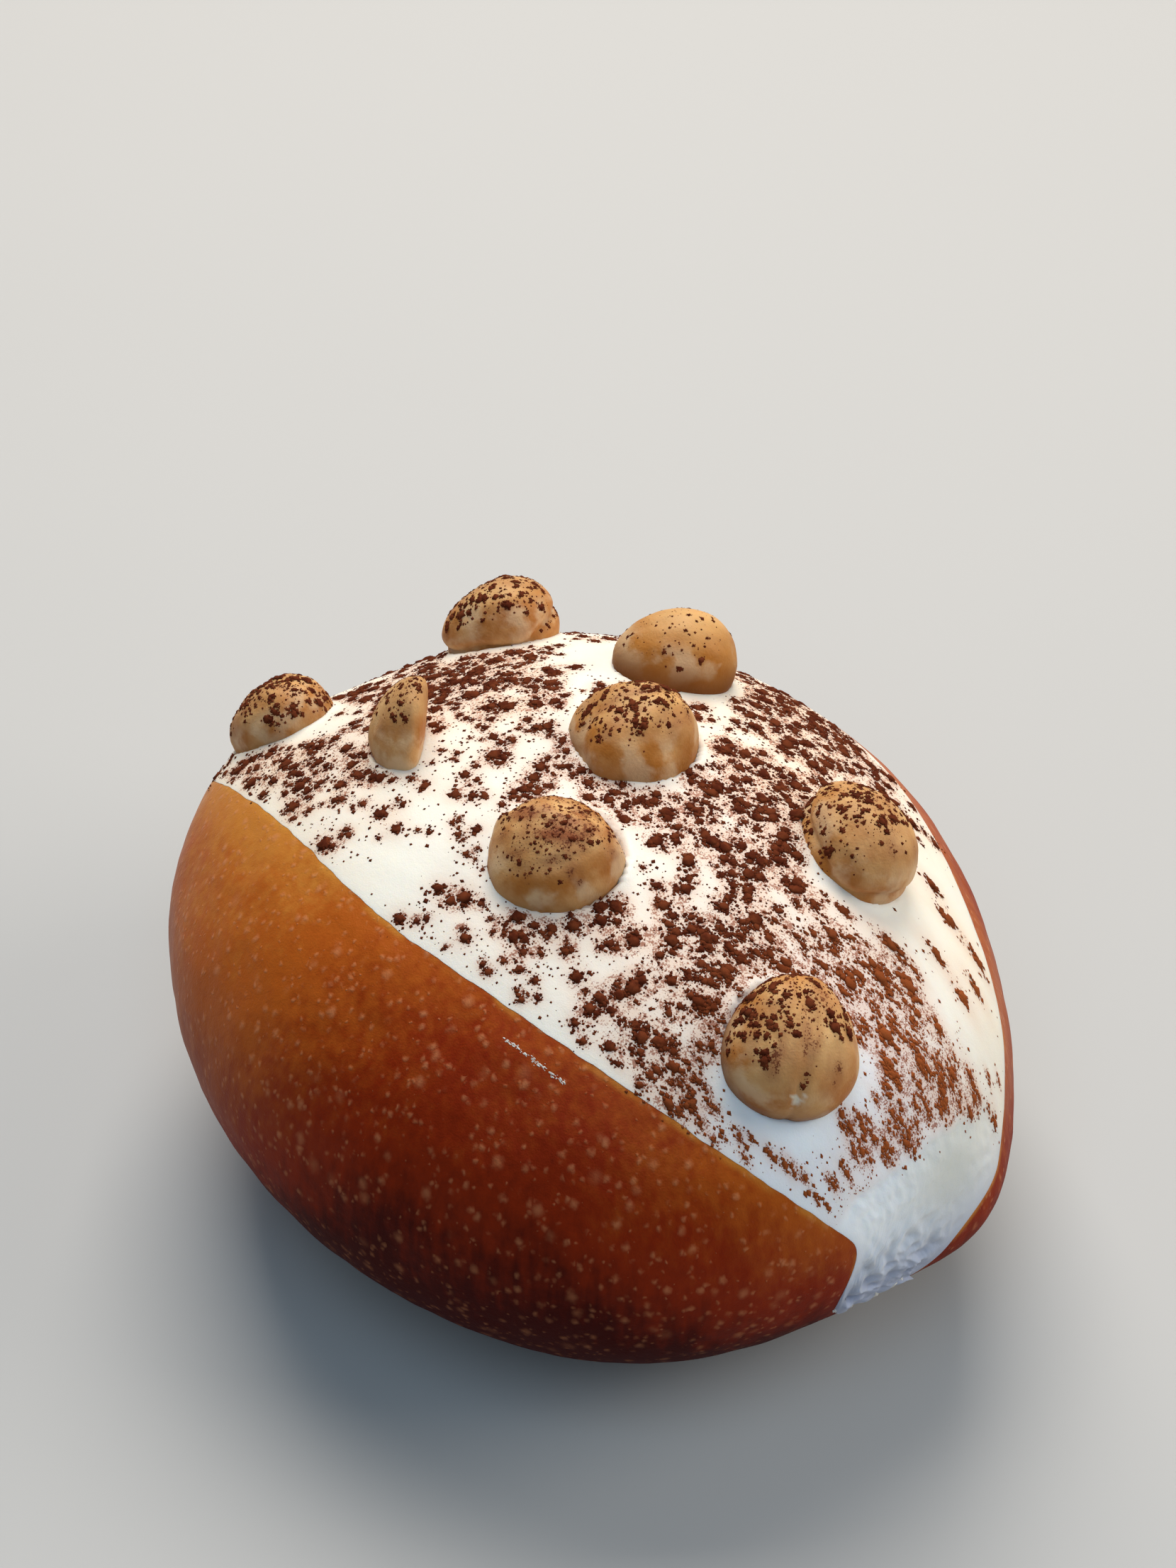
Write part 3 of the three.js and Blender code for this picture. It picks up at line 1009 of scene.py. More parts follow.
    def dust(self, points: Array, along: Array) -> Array:
        """How much cocoa fell at points: patches in plan, none in the lee of each nut and at ends.

        Args:
            points: places, in millimetres.
            along: angles towards +X.

        Returns:
            One amount for each point.
        """
        amount = self.base_dust + self._streaks(points)
        amount += self.dust_noise * self.noise.layered(points, self.dust_noise_size, layers=2)
        for patch in self.patches:
            amount = amount + patch.change * bell(points, (patch.x, patch.y), patch.spread)
        amount = np.clip(amount, 0.0, self.most_dust)
        for kernel in self.kernels:
            amount = amount * (1.0 - self._sheltered(points, kernel))
        return amount * (1.0 - self.scraped(points, along))

    def _sheltered(self, points: Array, kernel: Kernel) -> Array:
        """1 close to a kernel on its lee side, falling off within its shelter, and 0 elsewhere.

        Args:
            points: places, in millimetres.
            kernel: what shelters them.

        Returns:
            One value for each point.
        """
        gap = kernel.gap(points, self.dough)
        away = unit(points - kernel.axes(self.dough)[1]) @ np.array(self.lee)
        return np.exp(-((gap / kernel.shelter) ** 2)) * smooth_step(away, *self.lee_turn)

    def _warm_light(self, points: Array) -> Array:
        """How much painted yellowish light the cream has: most at the back and on the right."""
        back = smooth_step(points[..., 0], *self.warm_light_back)
        return np.maximum(back, smooth_step(points[..., 1], *self.warm_light_right))

    def _cool_shade(self, points: Array) -> Array:
        """How much painted bluish shade the cream has: only at the front and on the left."""
        left = 1.0 - smooth_step(points[..., 1], *self.cool_shade_left)
        return left * smooth_step(points[..., 0], *self.cool_shade_front)

    def _halo(self, points: Array, heaps: "Heaps", maker: "LumpMaker") -> Array:
        """Fine powder round the clumps: their bells, as wide and drawn out as they are, up to 1.

        Args:
            points: rows by columns by 3, in millimetres.
            heaps: the clumps.
            maker: what draws them out.

        Returns:
            Rows by columns of values from 0 to 1.
        """
        total = np.zeros(points.shape[:-1])
        ahead, _, drawn = maker.directions(heaps)
        spare = 1.0 - 1.0 / drawn**2
        for point, size, way, less in zip(heaps.points, heaps.sizes, ahead, spare):
            off = points - point
            square = (off**2).sum(axis=-1) - less * (off @ way) ** 2
            total += np.exp(-0.5 * square / (size * self.halo_reach) ** 2)
        return np.minimum(total, 1.0)

    def build(self, maker: MeshMaker, powder: "Powder", material: Material) -> Piece:
        """Makes the cream's piece: the outer face, and two walls that close it near the hinge.

        Args:
            maker: what makes meshes.
            powder: the cocoa on it.
            material: the cream's finish.

        Returns:
            The piece.
        """
        even = np.linspace(0.0, 1.0, self.rows)[:, None]
        crowded = even - self.row_crowding * np.sin(2.0 * np.pi * even) / (2.0 * np.pi)
        along = -QUARTER_TURN + 2.0 * QUARTER_TURN * crowded
        left, right = self.span(along)
        share = np.linspace(0.0, 1.0, self.outer_columns)
        share = np.sort(np.append(share, [self.rim_share, 1.0 - self.rim_share]))
        around = left + (right - left) * share
        along_all = np.broadcast_to(along, around.shape)
        outer = self.surface(around, along_all)
        hinge = np.array(self.dough.hinge)
        down = np.linspace(1.0, self.floor_share, self.wall_columns + 1)[1:][None, :, None]
        right_wall = hinge + (outer[:, -1:] - hinge) * down
        left_wall = hinge + (outer[:, :1] - hinge) * down[:, ::-1]
        points = np.concatenate([outer, right_wall, left_wall], axis=1)
        walls = np.zeros((self.rows, 2 * self.wall_columns))
        scraped = self.scraped(outer, along_all)
        values = {
            "dust": self.dust(outer, along_all),
            "halo": self._halo(outer, powder.clumps, powder.laying) * (1.0 - scraped),
            # The wiped patch at the front end: grey partly as its own tone, partly as painted shade.
            "worn_and_shade": scraped * self._worn(outer),
            # Painted lavender shade low on the scraped end.
            "low": scraped * smooth_step(outer[..., 2], *self.painted_shade_heights),
            # Painted yellowish light at the back and on the right.
            "warm_light": self._warm_light(outer),
            # Painted bluish shade at the front and on the left.
            "cool_shade": self._cool_shade(outer),
        }
        values = {name: np.concatenate([value, walls], axis=1) for name, value in values.items()}
        piece = maker.loop_grid("cream_fill", points, values)
        return dress(piece, material, "cream", "cream")


class LumpForm(Enum):
    """Small closed forms that lumps start from, by their numbers of meridians and of bands."""

    BALL = (6, 4)
    SPECK = (4, 2)

    def vertices_and_faces(self) -> tuple[Array, Array]:
        """Unit vertices and outward triangles: 36 for a ball and 8 for a speck.

        Returns:
            Rows of x, y and z, and rows of vertex numbers.
        """
        work = bmesh.new()
        meridians, bands = self.value
        bmesh.ops.create_uvsphere(work, u_segments=meridians, v_segments=bands, radius=1.0)
        bmesh.ops.triangulate(work, faces=work.faces)
        bmesh.ops.recalc_face_normals(work, faces=work.faces)
        vertices = np.array([vertex.co for vertex in work.verts])
        faces = np.array([[vertex.index for vertex in face.verts] for face in work.faces])
        work.free()
        return vertices, faces


@dataclass(frozen=True)
class Heaps:
    """Where lumps lie: middles, outward directions and half widths."""

    points: Array
    normals: Array
    sizes: Array

    def kept(self, chosen: Array) -> "Heaps":
        """Only the chosen heaps."""
        return Heaps(self.points[chosen], self.normals[chosen], self.sizes[chosen])

    @staticmethod
    def joined(*parts: "Heaps") -> "Heaps":
        """All the heaps of several parts, in their order."""
        arrays = zip(*((part.points, part.normals, part.sizes) for part in parts))
        return Heaps(*(np.concatenate(array) for array in arrays))


@dataclass(frozen=True)
class LumpMaker:
    """Lays lumps on surfaces: flat along the normal, and drawn out down the front slope."""

    stretch: float = 0.0
    slope_places: Pair = (16.0, 44.0)
    alignment: float = 3.0
    flatness: float = 0.45
    jitter: float = 0.3
    front_facing: float = 0.3
    down_front: Point = (0.6, 0.0, -0.8)
    core: float = 0.48
    rim: float = 0.17
    clump_shape: float = 0.75
    grain_uneven: Pair = (0.7, 1.3)

    def directions(self, heaps: Heaps) -> tuple[Array, Array, Array]:
        """Directions ahead along the cut and aside from it at each heap, and how drawn out it is.

        Args:
            heaps: where the lumps lie.

        Returns:
            Unit vectors ahead, unit vectors aside, and factors.
        """
        normals = heaps.normals
        facing = normals[:, :1] < self.front_facing
        ahead = np.where(facing, [[1.0, 0.0, 0.0]], [list(self.down_front)])
        ahead = unit(ahead - normals * (ahead * normals).sum(axis=-1, keepdims=True))
        slope = smooth_step(heaps.points[:, 0], *self.slope_places)
        return ahead, np.cross(normals, ahead), 1.0 + self.stretch * slope

    def frames(self, random: Random, heaps: Heaps) -> tuple[Array, Array, Array]:
        """Long and short directions along the surface at each heap, and how drawn out it is.

        Args:
            random: the seeded source.
            heaps: where the lumps lie.

        Returns:
            Directions, turned at random but the less so the more they are drawn out, and factors.
        """
        ahead, aside, drawn = self.directions(heaps)
        spin = random.uniform(-np.pi, np.pi, len(drawn)) / drawn**self.alignment
        cosine, sine = np.cos(spin)[:, None], np.sin(spin)[:, None]
        return cosine * ahead + sine * aside, cosine * aside - sine * ahead, drawn

    def lumps(self, random: Random, heaps: Heaps, form: LumpForm) -> tuple[Array, Array]:
        """Jittered, flattened copies of a form, one on each heap's place.

        Args:
            random: the seeded source.
            heaps: middles, directions and half widths.
            form: what the lumps start from.

        Returns:
            Vertices, lumps by vertices by 3, and the form's faces.
        """
        vertices, faces = form.vertices_and_faces()
        count = len(heaps.points)
        uneven = random.uniform(1.0 - self.jitter, 1.0 + self.jitter, (count, len(vertices), 1))
        own = vertices[None] * uneven * heaps.sizes[:, None, None]
        first, second, drawn = self.frames(random, heaps)
        long_way = own[..., :1] * (first * np.sqrt(drawn)[:, None])[:, None]
        short_way = own[..., 1:2] * second[:, None]
        raised = own[..., 2:] * self.flatness * heaps.normals[:, None]
        return heaps.points[:, None] + long_way + short_way + raised, faces

    def scattered(
        self, random: Random, heaps: Heaps, away: Array, shape: float = 1.0
    ) -> tuple[Array, Array]:
        """Places round each heap, at random angles and given distances.

        Args:
            random: the seeded source.
            heaps: what they lie round.
            away: distances, heaps by places.
            shape: short way over long way where nothing is drawn out.

        Returns:
            Points and normals, one row for each place.
        """
        first, second, drawn = self.frames(random, heaps)
        angle = random.uniform(0.0, 2.0 * np.pi, away.shape)
        long_way = (away * np.cos(angle) * drawn[:, None])[..., None] * first[:, None]
        short_way = (away * np.sin(angle) * shape)[..., None] * second[:, None]
        points = heaps.points[:, None] + long_way + short_way
        return points.reshape(-1, 3), np.repeat(heaps.normals, away.shape[1], axis=0)

    def clustered(self, random: Random, heaps: Heaps, members: int) -> Heaps:
        """Lumps that make each heap a ragged clump: the nearer its rim, the smaller.

        Args:
            random: the seeded source.
            heaps: where the lumps lie.
            members: how many lumps a heap has.

        Returns:
            The lumps, as heaps of their own.
        """
        away = np.sqrt(random.uniform(0.0, 1.0, (len(heaps.points), members)))
        far = away * heaps.sizes[:, None]
        points, normals = self.scattered(random, heaps, far, self.clump_shape)
        sizes = heaps.sizes[:, None] * (self.core - (self.core - self.rim) * away)
        sizes = sizes * random.uniform(*self.grain_uneven, sizes.shape)
        return Heaps(points, normals, sizes.ravel())


@dataclass(frozen=True)
class Powder:
    """Cocoa on one kind of surface: its clumps, its loose specks, and how they are laid there."""

    place: str
    slot: str
    clumps: Heaps
    specks: Heaps
    laying: LumpMaker
    grains_in_clump: int
    core_share: float = 0.62
    seed: int = 78

    def build(self, maker: MeshMaker, material: Material) -> list[Piece]:
        """Makes the rounded middles of the clumps, the grains over and round them, and the specks.

        Args:
            maker: what makes meshes.
            material: its finish.

        Returns:
            The three pieces.
        """
        random = np.random.default_rng(self.seed)
        cores = Heaps(self.clumps.points, self.clumps.normals, self.clumps.sizes * self.core_share)
        grains = self.laying.clustered(random, self.clumps, self.grains_in_clump)
        kinds = {
            "clumps": (cores, LumpForm.BALL),
            "grains": (grains, LumpForm.SPECK),
            "specks": (self.specks, LumpForm.SPECK),
        }
        pieces = []
        for kind, (heaps, form) in kinds.items():
            vertices, faces = self.laying.lumps(random, heaps, form)
            piece = maker.lumps(f"cocoa_{kind}_{self.place}", vertices, faces)
            pieces.append(dress(piece, material, self.slot))
        return pieces


@dataclass(frozen=True)
class LargeClumps:
    """The largest clumps, at the places where the solids have them, by the same seeded rule."""

    cream: Cream
    count: int = 90
    largest: float = 1.25
    smallest: float = 0.85
    along_limit: float = 56.0
    edge_margin: float = 2.4
    nut_margin: float = 2.0
    spacing: float = 3.4
    seed: int = 11
    tries: int = 4000
    bare_at: Pair = (-8.0, -21.0)
    bare_radius: float = 9.0
    hinge_shift: Point = (0.0, 0.35, 0.62)
    inset: float = 0.6
    rule: tuple[int, int, int] = (1664525, 1013904223, 2**32)

    def _draws(self) -> Array:
        """Three numbers from 0 to 1 for each try, by a linear congruential rule.

        Returns:
            Tries by 3.
        """
        factor, step, span = self.rule
        state, values = self.seed, []
        for _ in range(3 * self.tries):
            state = (state * factor + step) % span
            values.append(state / span)
        return np.array(values).reshape(-1, 3)

    def _clear(self, points: Array, edge: Array, size: float) -> Array:
        """Which tries lie clear of the crust, the bare patch and the nuts, for a clump of a size.

        Args:
            points: places, in millimetres.
            edge: each one's distance from the crust.
            size: the clump's half width.

        Returns:
            One truth value for each point.
        """
        dough = self.cream.dough
        away = np.hypot(points[:, 0] - self.bare_at[0], points[:, 1] - self.bare_at[1])
        clear = (edge > self.edge_margin) & (away > self.bare_radius)
        for kernel in self.cream.kernels:
            reach = kernel.length / 2.0 + self.nut_margin * size
            clear &= np.linalg.norm(points - kernel.axes(dough)[1], axis=-1) > reach
        return clear

    def heaps(self) -> Heaps:
        """Tries in their order, each kept where it is clear of all that came before.

        Returns:
            The heaps, the largest first.
        """
        draws = self._draws()
        dough, cut = self.cream.dough, self.cream.cut
        along = -self.along_limit + 2.0 * self.along_limit * draws[:, 0]
        left = cut.plain_left_wall(along, self.inset)
        right = cut.plain_right_wall(along, self.inset)
        around = left + (right - left) * draws[:, 1]
        start = np.array(dough.hinge) + np.array(self.hinge_shift)
        directions = cut.directions(around, along)
        radius = dough.radius(directions, start)
        points = start + directions * radius[:, None]
        reach = radius * np.cos(np.radians(along))
        edge = np.radians(np.minimum(around - left, right - around)) * reach
        kept: list[int] = []
        sizes = np.linspace(self.largest, self.smallest, self.count)
        open_tries = {size: self._clear(points, edge, size) for size in sizes}
        for index in range(self.tries):
            if len(kept) == self.count:
                break
            gaps = np.linalg.norm(points[kept] - points[index], axis=-1)
            if open_tries[sizes[len(kept)]][index] and (gaps > self.spacing).all():
                kept.append(index)
        points = self.cream.onto(points[kept])
        return Heaps(points, dough.normal(points), sizes[: len(kept)])


@dataclass(frozen=True)
class Grading:
    """Half widths of lumps: a middle one, how much they vary, and the least and the most."""

    middle: float
    spread: float
    least: float
    most: float

    def drawn(self, random: Random, count: int) -> Array:
        """Half widths that vary by an even factor either side of the middle one."""
        sizes = self.middle * np.exp(random.normal(0.0, self.spread, count))
        return np.clip(sizes, self.least, self.most)


@dataclass(frozen=True)
class Sifting:
    """Cocoa that lies on the cream and the nuts: ragged clumps, crumbs round them, and specks."""

    cream: Cream
    clumps: int = 1250
    clump_sizes: Grading = Grading(0.62, 0.38, 0.28, 1.25)
    grains_in_clump: int = 18
    crumbs_round_clump: int = 8
    crumb_sizes: Grading = Grading(0.13, 0.45, 0.06, 0.32)
    crumb_reach: Pair = (0.8, 0.6)
    specks: int = 6000
    speck_sizes: Grading = Grading(0.12, 0.5, 0.05, 0.34)
    kernel_clumps: int = 150
    kernel_clump_sizes: Grading = Grading(0.38, 0.45, 0.13, 0.85)
    kernel_grains: int = 12
    kernel_specks: int = 600
    kernel_speck_sizes: Grading = Grading(0.1, 0.5, 0.04, 0.3)
    kernel_drift_size: float = 3.2
    kernel_facing: Pair = (0.3, 0.75)
    kernel_fall: Point = (-0.25, 0.15, 0.95)
    kernel_drift: float = 0.4
    kernel_tries: int = 12
    off_kernel: float = 1.02
    cream_tries: int = 20
    along_reach: float = 0.96
    edge_shares: Pair = (0.012, 0.988)
    dust_power: float = 1.5
    step: float = 0.05
    slope_loss: float = 0.1
    slope_less: float = 0.4
    seed: int = 77
    on_cream: LumpMaker = LumpMaker(stretch=1.7)
    on_kernels: LumpMaker = LumpMaker(core=0.55, rim=0.2)

    def _on_cream(self, random: Random, count: int, grading: Grading) -> Heaps:
        """Seeded heaps on the cream, as dense as its dust and clear of the nuts.

        Args:
            random: the seeded source.
            count: how many heaps to try to keep.
            grading: their half widths.

        Returns:
            The heaps.
        """
        tries = count * self.cream_tries
        along = random.uniform(-self.along_reach, self.along_reach, tries)
        along = np.degrees(np.arcsin(along))
        left, right = self.cream.span(along)
        around = left + (right - left) * random.uniform(*self.edge_shares, tries)
        points = self.cream.surface(around, along)
        hinge, reach = np.array(self.cream.dough.hinge), self.cream.dough.half_length
        area = (np.linalg.norm(points - hinge, axis=-1) / reach) ** 2
        slope = smooth_step(points[:, 0], *self.on_cream.slope_places)
        dust = self.cream.dust(points, along) / self.cream.most_dust
        chance = area * dust**self.dust_power * (1.0 - self.slope_loss * slope)
        kept = (random.uniform(size=tries) < chance) & self._off_kernels(points)
        kept = np.flatnonzero(kept)[:count]
        around, along, points = around[kept], along[kept], points[kept]
        ahead = self.cream.surface(around, along + self.step) - points
        aside = self.cream.surface(around + self.step, along) - points
        normals = unit(np.cross(ahead, aside))
        sizes = grading.drawn(random, len(kept)) * (1.0 - self.slope_less * slope[kept])
        return Heaps(points, normals, sizes)

    def _off_kernels(self, points: Array) -> Array:
        """Which points of the cream lie clear of every kernel.

        Args:
            points: places, in millimetres.

        Returns:
            One truth value for each point.
        """
        clear = np.ones(len(points), dtype=bool)
        for kernel in self.cream.kernels:
            own = np.linalg.norm(kernel.into_own(points, self.cream.dough), axis=-1)
            clear &= own > self.off_kernel
        return clear

    def _on_kernel(self, random: Random, kernel: Kernel, count: int, grading: Grading) -> Heaps:
        """Seeded heaps on the side of one kernel that the cocoa fell on, in drifts.

        Args:
            random: the seeded source.
            kernel: what they lie on.
            count: how many heaps to try to keep.
            grading: their half widths.

        Returns:
            The heaps.
        """
        tries = count * self.kernel_tries
        turn = random.uniform(0.0, 2.0 * np.pi, tries)
        tilt = np.arccos(random.uniform(-1.0, 1.0, tries))
        dough = self.cream.dough
        points = kernel.surface(turn, tilt, dough)
        aside = kernel.surface(turn + self.step, tilt, dough) - points
        ahead = kernel.surface(turn, tilt + self.step, dough) - points
        normals = unit(np.cross(ahead, aside))
        away = points - kernel.axes(dough)[1]
        normals *= np.sign((normals * away).sum(axis=-1, keepdims=True))
        facing = normals @ unit(np.array(self.kernel_fall))
        facing += self.kernel_drift * self.cream.noise.layered(points, self.kernel_drift_size, layers=2)
        chance = kernel.dusting * smooth_step(facing, *self.kernel_facing)
        kept = np.flatnonzero(random.uniform(size=tries) < chance)
        kept = kept[: round(count * kernel.dusting)]
        sizes = grading.drawn(random, len(kept)) * kernel.grit
        return Heaps(points[kept], normals[kept], sizes)

    def _crumbs(self, random: Random, heaps: Heaps) -> Heaps:
        """Crumbs round each clump, thinning out away from it.

        Args:
            random: the seeded source.
            heaps: the clumps.

        Returns:
            The crumbs, as heaps of their own.
        """
        least, more = self.crumb_reach
        shape = (len(heaps.points), self.crumbs_round_clump)
        away = heaps.sizes[:, None] * (least + random.exponential(more, shape))
        points, normals = self.on_cream.scattered(random, heaps, away)
        crumbs = Heaps(self.cream.onto(points), normals, self.crumb_sizes.drawn(random, len(points)))
        return crumbs.kept(self._off_kernels(crumbs.points))

    def powder_on_cream(self) -> Powder:
        """The solids' largest clumps, smaller ones between them, crumbs round them, and specks.

        Returns:
            The powder.
        """
        random = np.random.default_rng(self.seed)
        small = self._on_cream(random, self.clumps, self.clump_sizes)
        clumps = Heaps.joined(LargeClumps(self.cream).heaps(), small)
        specks = self._on_cream(random, self.specks, self.speck_sizes)
        specks = Heaps.joined(specks, self._crumbs(random, clumps))
        return Powder("on_cream", "cream", clumps, specks, self.on_cream, self.grains_in_clump)

    def powder_on_kernels(self) -> Powder:
        """Clumps and specks on all the nuts.

        Returns:
            The powder.
        """
        random = np.random.default_rng(self.seed + 1)
        clumps, specks = [], []
        for kernel in self.cream.kernels:
            clumps.append(self._on_kernel(random, kernel, self.kernel_clumps, self.kernel_clump_sizes))
            specks.append(self._on_kernel(random, kernel, self.kernel_specks, self.kernel_speck_sizes))
        clumps, specks = Heaps.joined(*clumps), Heaps.joined(*specks)
        return Powder("on_kernels", "hazelnut", clumps, specks, self.on_kernels, self.kernel_grains)


@dataclass(frozen=True)
class Flecks:
    """Cream outside the filling: a thin smear on the crust, and a ragged rim under the front end."""

    crust: Crust
    smear: int = 120
    smear_dashes: int = 11
    smear_dash: float = 0.022
    smear_around: Pair = (-38.2, -39.2)
    smear_along: Pair = (16.0, 30.5)
    smear_width: float = 0.2
    smear_peak: Pair = (2.6, 1.9)
    smear_sizes: Grading = Grading(0.045, 0.4, 0.02, 0.1)
    rim: int = 46
    rim_around: float = -91.0
    rim_along: Pair = (78.5, 88.5)
    rim_width: float = 0.25
    rim_sizes: Grading = Grading(0.34, 0.35, 0.15, 0.7)
    seed: int = 91
    maker: LumpMaker = LumpMaker(stretch=5.0, slope_places=(0.0, 10.0), flatness=0.6)

    def _laid(self, random: Random, around: Array, along: Array, grading: Grading) -> Heaps:
        """Heaps at angles on the crust's outer face.

        Args:
            random: the seeded source.
            around: angles about the hinge line.
            along: angles towards +X.
            grading: their half widths.

        Returns:
            The heaps.
        """
        points, _ = self.crust.onto(around + FULL_TURN, along)
        normals = self.crust.dough.normal(points)
        return Heaps(points, normals, grading.drawn(random, len(points)))

    def build(self, maker: MeshMaker, material: Material) -> Piece:
        """Makes the flecks: dashes along a line on the crust, and lumps on the rim.

        Args:
            maker: what makes meshes.
            material: its finish.

        Returns:
            The piece.
        """
        random = np.random.default_rng(self.seed)
        dashes = random.beta(*self.smear_peak, self.smear_dashes)
        share = random.choice(dashes, self.smear) + random.normal(0.0, self.smear_dash, self.smear)
        aside = random.normal(0.0, self.smear_width, self.smear)
        around = self.smear_around[0] + (self.smear_around[1] - self.smear_around[0]) * share + aside
        along = self.smear_along[0] + (self.smear_along[1] - self.smear_along[0]) * share
        heaps = self._laid(random, around, along, self.smear_sizes)
        along = random.uniform(*self.rim_along, self.rim)
        around = self.rim_around + random.normal(0.0, self.rim_width, self.rim)
        heaps = Heaps.joined(heaps, self._laid(random, around, along, self.rim_sizes))
        vertices, faces = self.maker.lumps(random, heaps, LumpForm.BALL)
        return dress(maker.lumps("cream_flecks", vertices, faces), material, "cream")


class NodeSheet:
    """Short calls that add and link the nodes of one tree."""

    FIRST_COLOUR = 6  # sockets of a mix node that take and give colours
    SECOND_COLOUR = 7
    MIXED_COLOUR = 2
    COLOUR_PARTS = 4

    def __init__(self, tree: bpy.types.NodeTree) -> None:
        """Keeps the tree."""
        self.tree = tree

    @property
    def shader(self) -> Node:
        """The principled shader of a material's tree."""
        return self.tree.nodes["Principled BSDF"]

    def add(self, kind: str, **settings: object) -> Node:
        """Adds a node of a kind and sets its properties.

        Args:
            kind: Blender's name for it.
            settings: properties by name.

        Returns:
            The node.
        """
        node = self.tree.nodes.new(kind)
        for label, value in settings.items():
            setattr(node, label, value)
        return node

    def feed(self, target: Socket, value: object) -> None:
        """Links a socket to a target, or sets the target's own value.

        Args:
            target: an input.
            value: an output, or a constant.
        """
        if isinstance(value, bpy.types.NodeSocket):
            self.tree.links.new(value, target)
        elif isinstance(value, tuple) and len(target.default_value) == self.COLOUR_PARTS:
            target.default_value = (*value, 1.0)
        else:
            target.default_value = value

    def fill(self, node: Node, inputs: dict[str, object]) -> Node:
        """Feeds several inputs of a node by their names.

        Args:
            node: what is fed.
            inputs: outputs or constants by the inputs' names.

        Returns:
            The node.
        """
        for label, value in inputs.items():
            self.feed(node.inputs[label], value)
        return node

    def result(self, node: Node, *values: object) -> Socket:
        """Feeds a node's inputs in their order, and gives its first output.

        Args:
            node: what is fed.
            values: outputs or constants.

        Returns:
            The node's result.
        """
        for target, value in zip(node.inputs, values):
            self.feed(target, value)
        return node.outputs[0]

    def place(self, stretch: Point = (1.0, 1.0, 1.0)) -> Socket:
        """Object coordinates, stretched along the axes.

        Args:
            stretch: factors along the axes.

        Returns:
            Coordinates.
        """
        coordinates = self.add("ShaderNodeTexCoord").outputs["Object"]
        if stretch == (1.0, 1.0, 1.0):
            return coordinates
        mapping = self.add("ShaderNodeMapping")
        return self.fill(mapping, {"Vector": coordinates, "Scale": stretch}).outputs["Vector"]

    def ahead(self, place: Socket) -> Socket:
        """How far forward a place is, along X."""
        return self.result(self.add("ShaderNodeSeparateXYZ"), place)

    def _texture(self, kind: str, place: Socket, size: float) -> Node:
        """Adds a texture of a kind, with features of a size in millimetres."""
        return self.fill(self.add(kind), {"Vector": place, "Scale": 1.0 / (size * MM)})

    def noise(self, place: Socket, size: float, detail: float = 2.0) -> Socket:
        """Noise from 0 to 1 with bumps of a size in millimetres."""
        node = self._texture("ShaderNodeTexNoise", place, size)
        return self.fill(node, {"Detail": detail}).outputs[0]

    def warped(self, place: Socket, size: float, reach: float) -> Socket:
        """Place moved about at random by a reach, in bends of a size, both in millimetres.

        Args:
            place: coordinates that it reads.
            size: size of its features, in millimetres.
            reach: how far it is moved, in millimetres.

        Returns:
            The node's result.
        """
        bends = self._texture("ShaderNodeTexNoise", place, size).outputs["Color"]
        moved = self.add("ShaderNodeVectorMath", operation="MULTIPLY_ADD")
        return self.result(moved, bends, (reach * MM,) * 3, place)

    def cells(self, place: Socket, size: float) -> tuple[Socket, Socket]:
        """Distance to the nearest of scattered points about a size apart, and its own colour."""
        node = self._texture("ShaderNodeTexVoronoi", place, size)
        return node.outputs["Distance"], node.outputs["Color"]

    def attribute(self, name: str) -> Socket:
        """A point attribute of the piece as one value."""
        return self.add("ShaderNodeAttribute", attribute_name=name).outputs["Fac"]

    def math(self, operation: str, first: object, second: object = 0.0) -> Socket:
        """One arithmetic step."""
        return self.result(self.add("ShaderNodeMath", operation=operation), first, second)

    def times(self, first: object, second: object) -> Socket:
        """One value times another."""
        return self.math("MULTIPLY", first, second)

    def sum(self, *terms: tuple[Socket, float]) -> Socket:
        """Sum of values, each times its own weight."""
        parts = [self.times(value, weight) for value, weight in terms]
        return reduce(partial(self.math, "ADD"), parts)

    def ease(
        self, value: Socket, low: object, high: object, start: float = 0.0, end: float = 1.0
    ) -> Socket:
        """Eases from start at low to end at high."""
        node = self.add("ShaderNodeMapRange", interpolation_type="SMOOTHSTEP")
        return self.result(node, value, low, high, start, end)

    def blend(self, share: object, first: object, second: object) -> Socket:
        """Blends two colours by a share.

        Args:
            share: how much of the second.
            first: a colour.
            second: another colour.

        Returns:
            The node's result.
        """
        node = self.add("ShaderNodeMix", data_type="RGBA")
        self.feed(node.inputs[0], share)
        self.feed(node.inputs[self.FIRST_COLOUR], first)
        self.feed(node.inputs[self.SECOND_COLOUR], second)
        return node.outputs[self.MIXED_COLOUR]

    def coats(self, colour: object, *layers: tuple[Socket, Colour]) -> Socket:
        """Lays coats over a colour in their order, each by its share.

        Args:
            colour: what lies under them.
            layers: shares and colours.

        Returns:
            The colour.
        """
        for share, coat in layers:
            colour = self.blend(share, colour, coat)
        return colour

    def bump(self, height: Socket, distance: float) -> Socket:
        """Normal bent by a height from 0 to 1 over a distance in millimetres."""
        node = self.add("ShaderNodeBump")
        return self.fill(node, {"Distance": distance * MM, "Height": height}).outputs["Normal"]

    def group(self, tree: bpy.types.NodeTree, **inputs: object) -> Socket:
        """Places a shader node group with its own values, and gives its result."""
        return self.fill(self.add("ShaderNodeGroup", node_tree=tree), inputs).outputs[0]


def add_object(name: str, data: bpy.types.ID) -> Piece:
    """Adds an object with its mesh, lamp or camera to the scene.

    Args:
        name: its name.
        data: what it shows.

    Returns:
        The object.
    """
    added = bpy.data.objects.new(name, data)
    bpy.context.scene.collection.objects.link(added)
    return added


def new_material(name: str) -> tuple[Material, NodeSheet]:
    """Makes a material with nodes, and the sheet that adds to them.

    Args:
        name: the material's name.

    Returns:
        The material and its sheet.
    """
    material = bpy.data.materials.new(name)
    material.use_nodes = True
    return material, NodeSheet(material.node_tree)


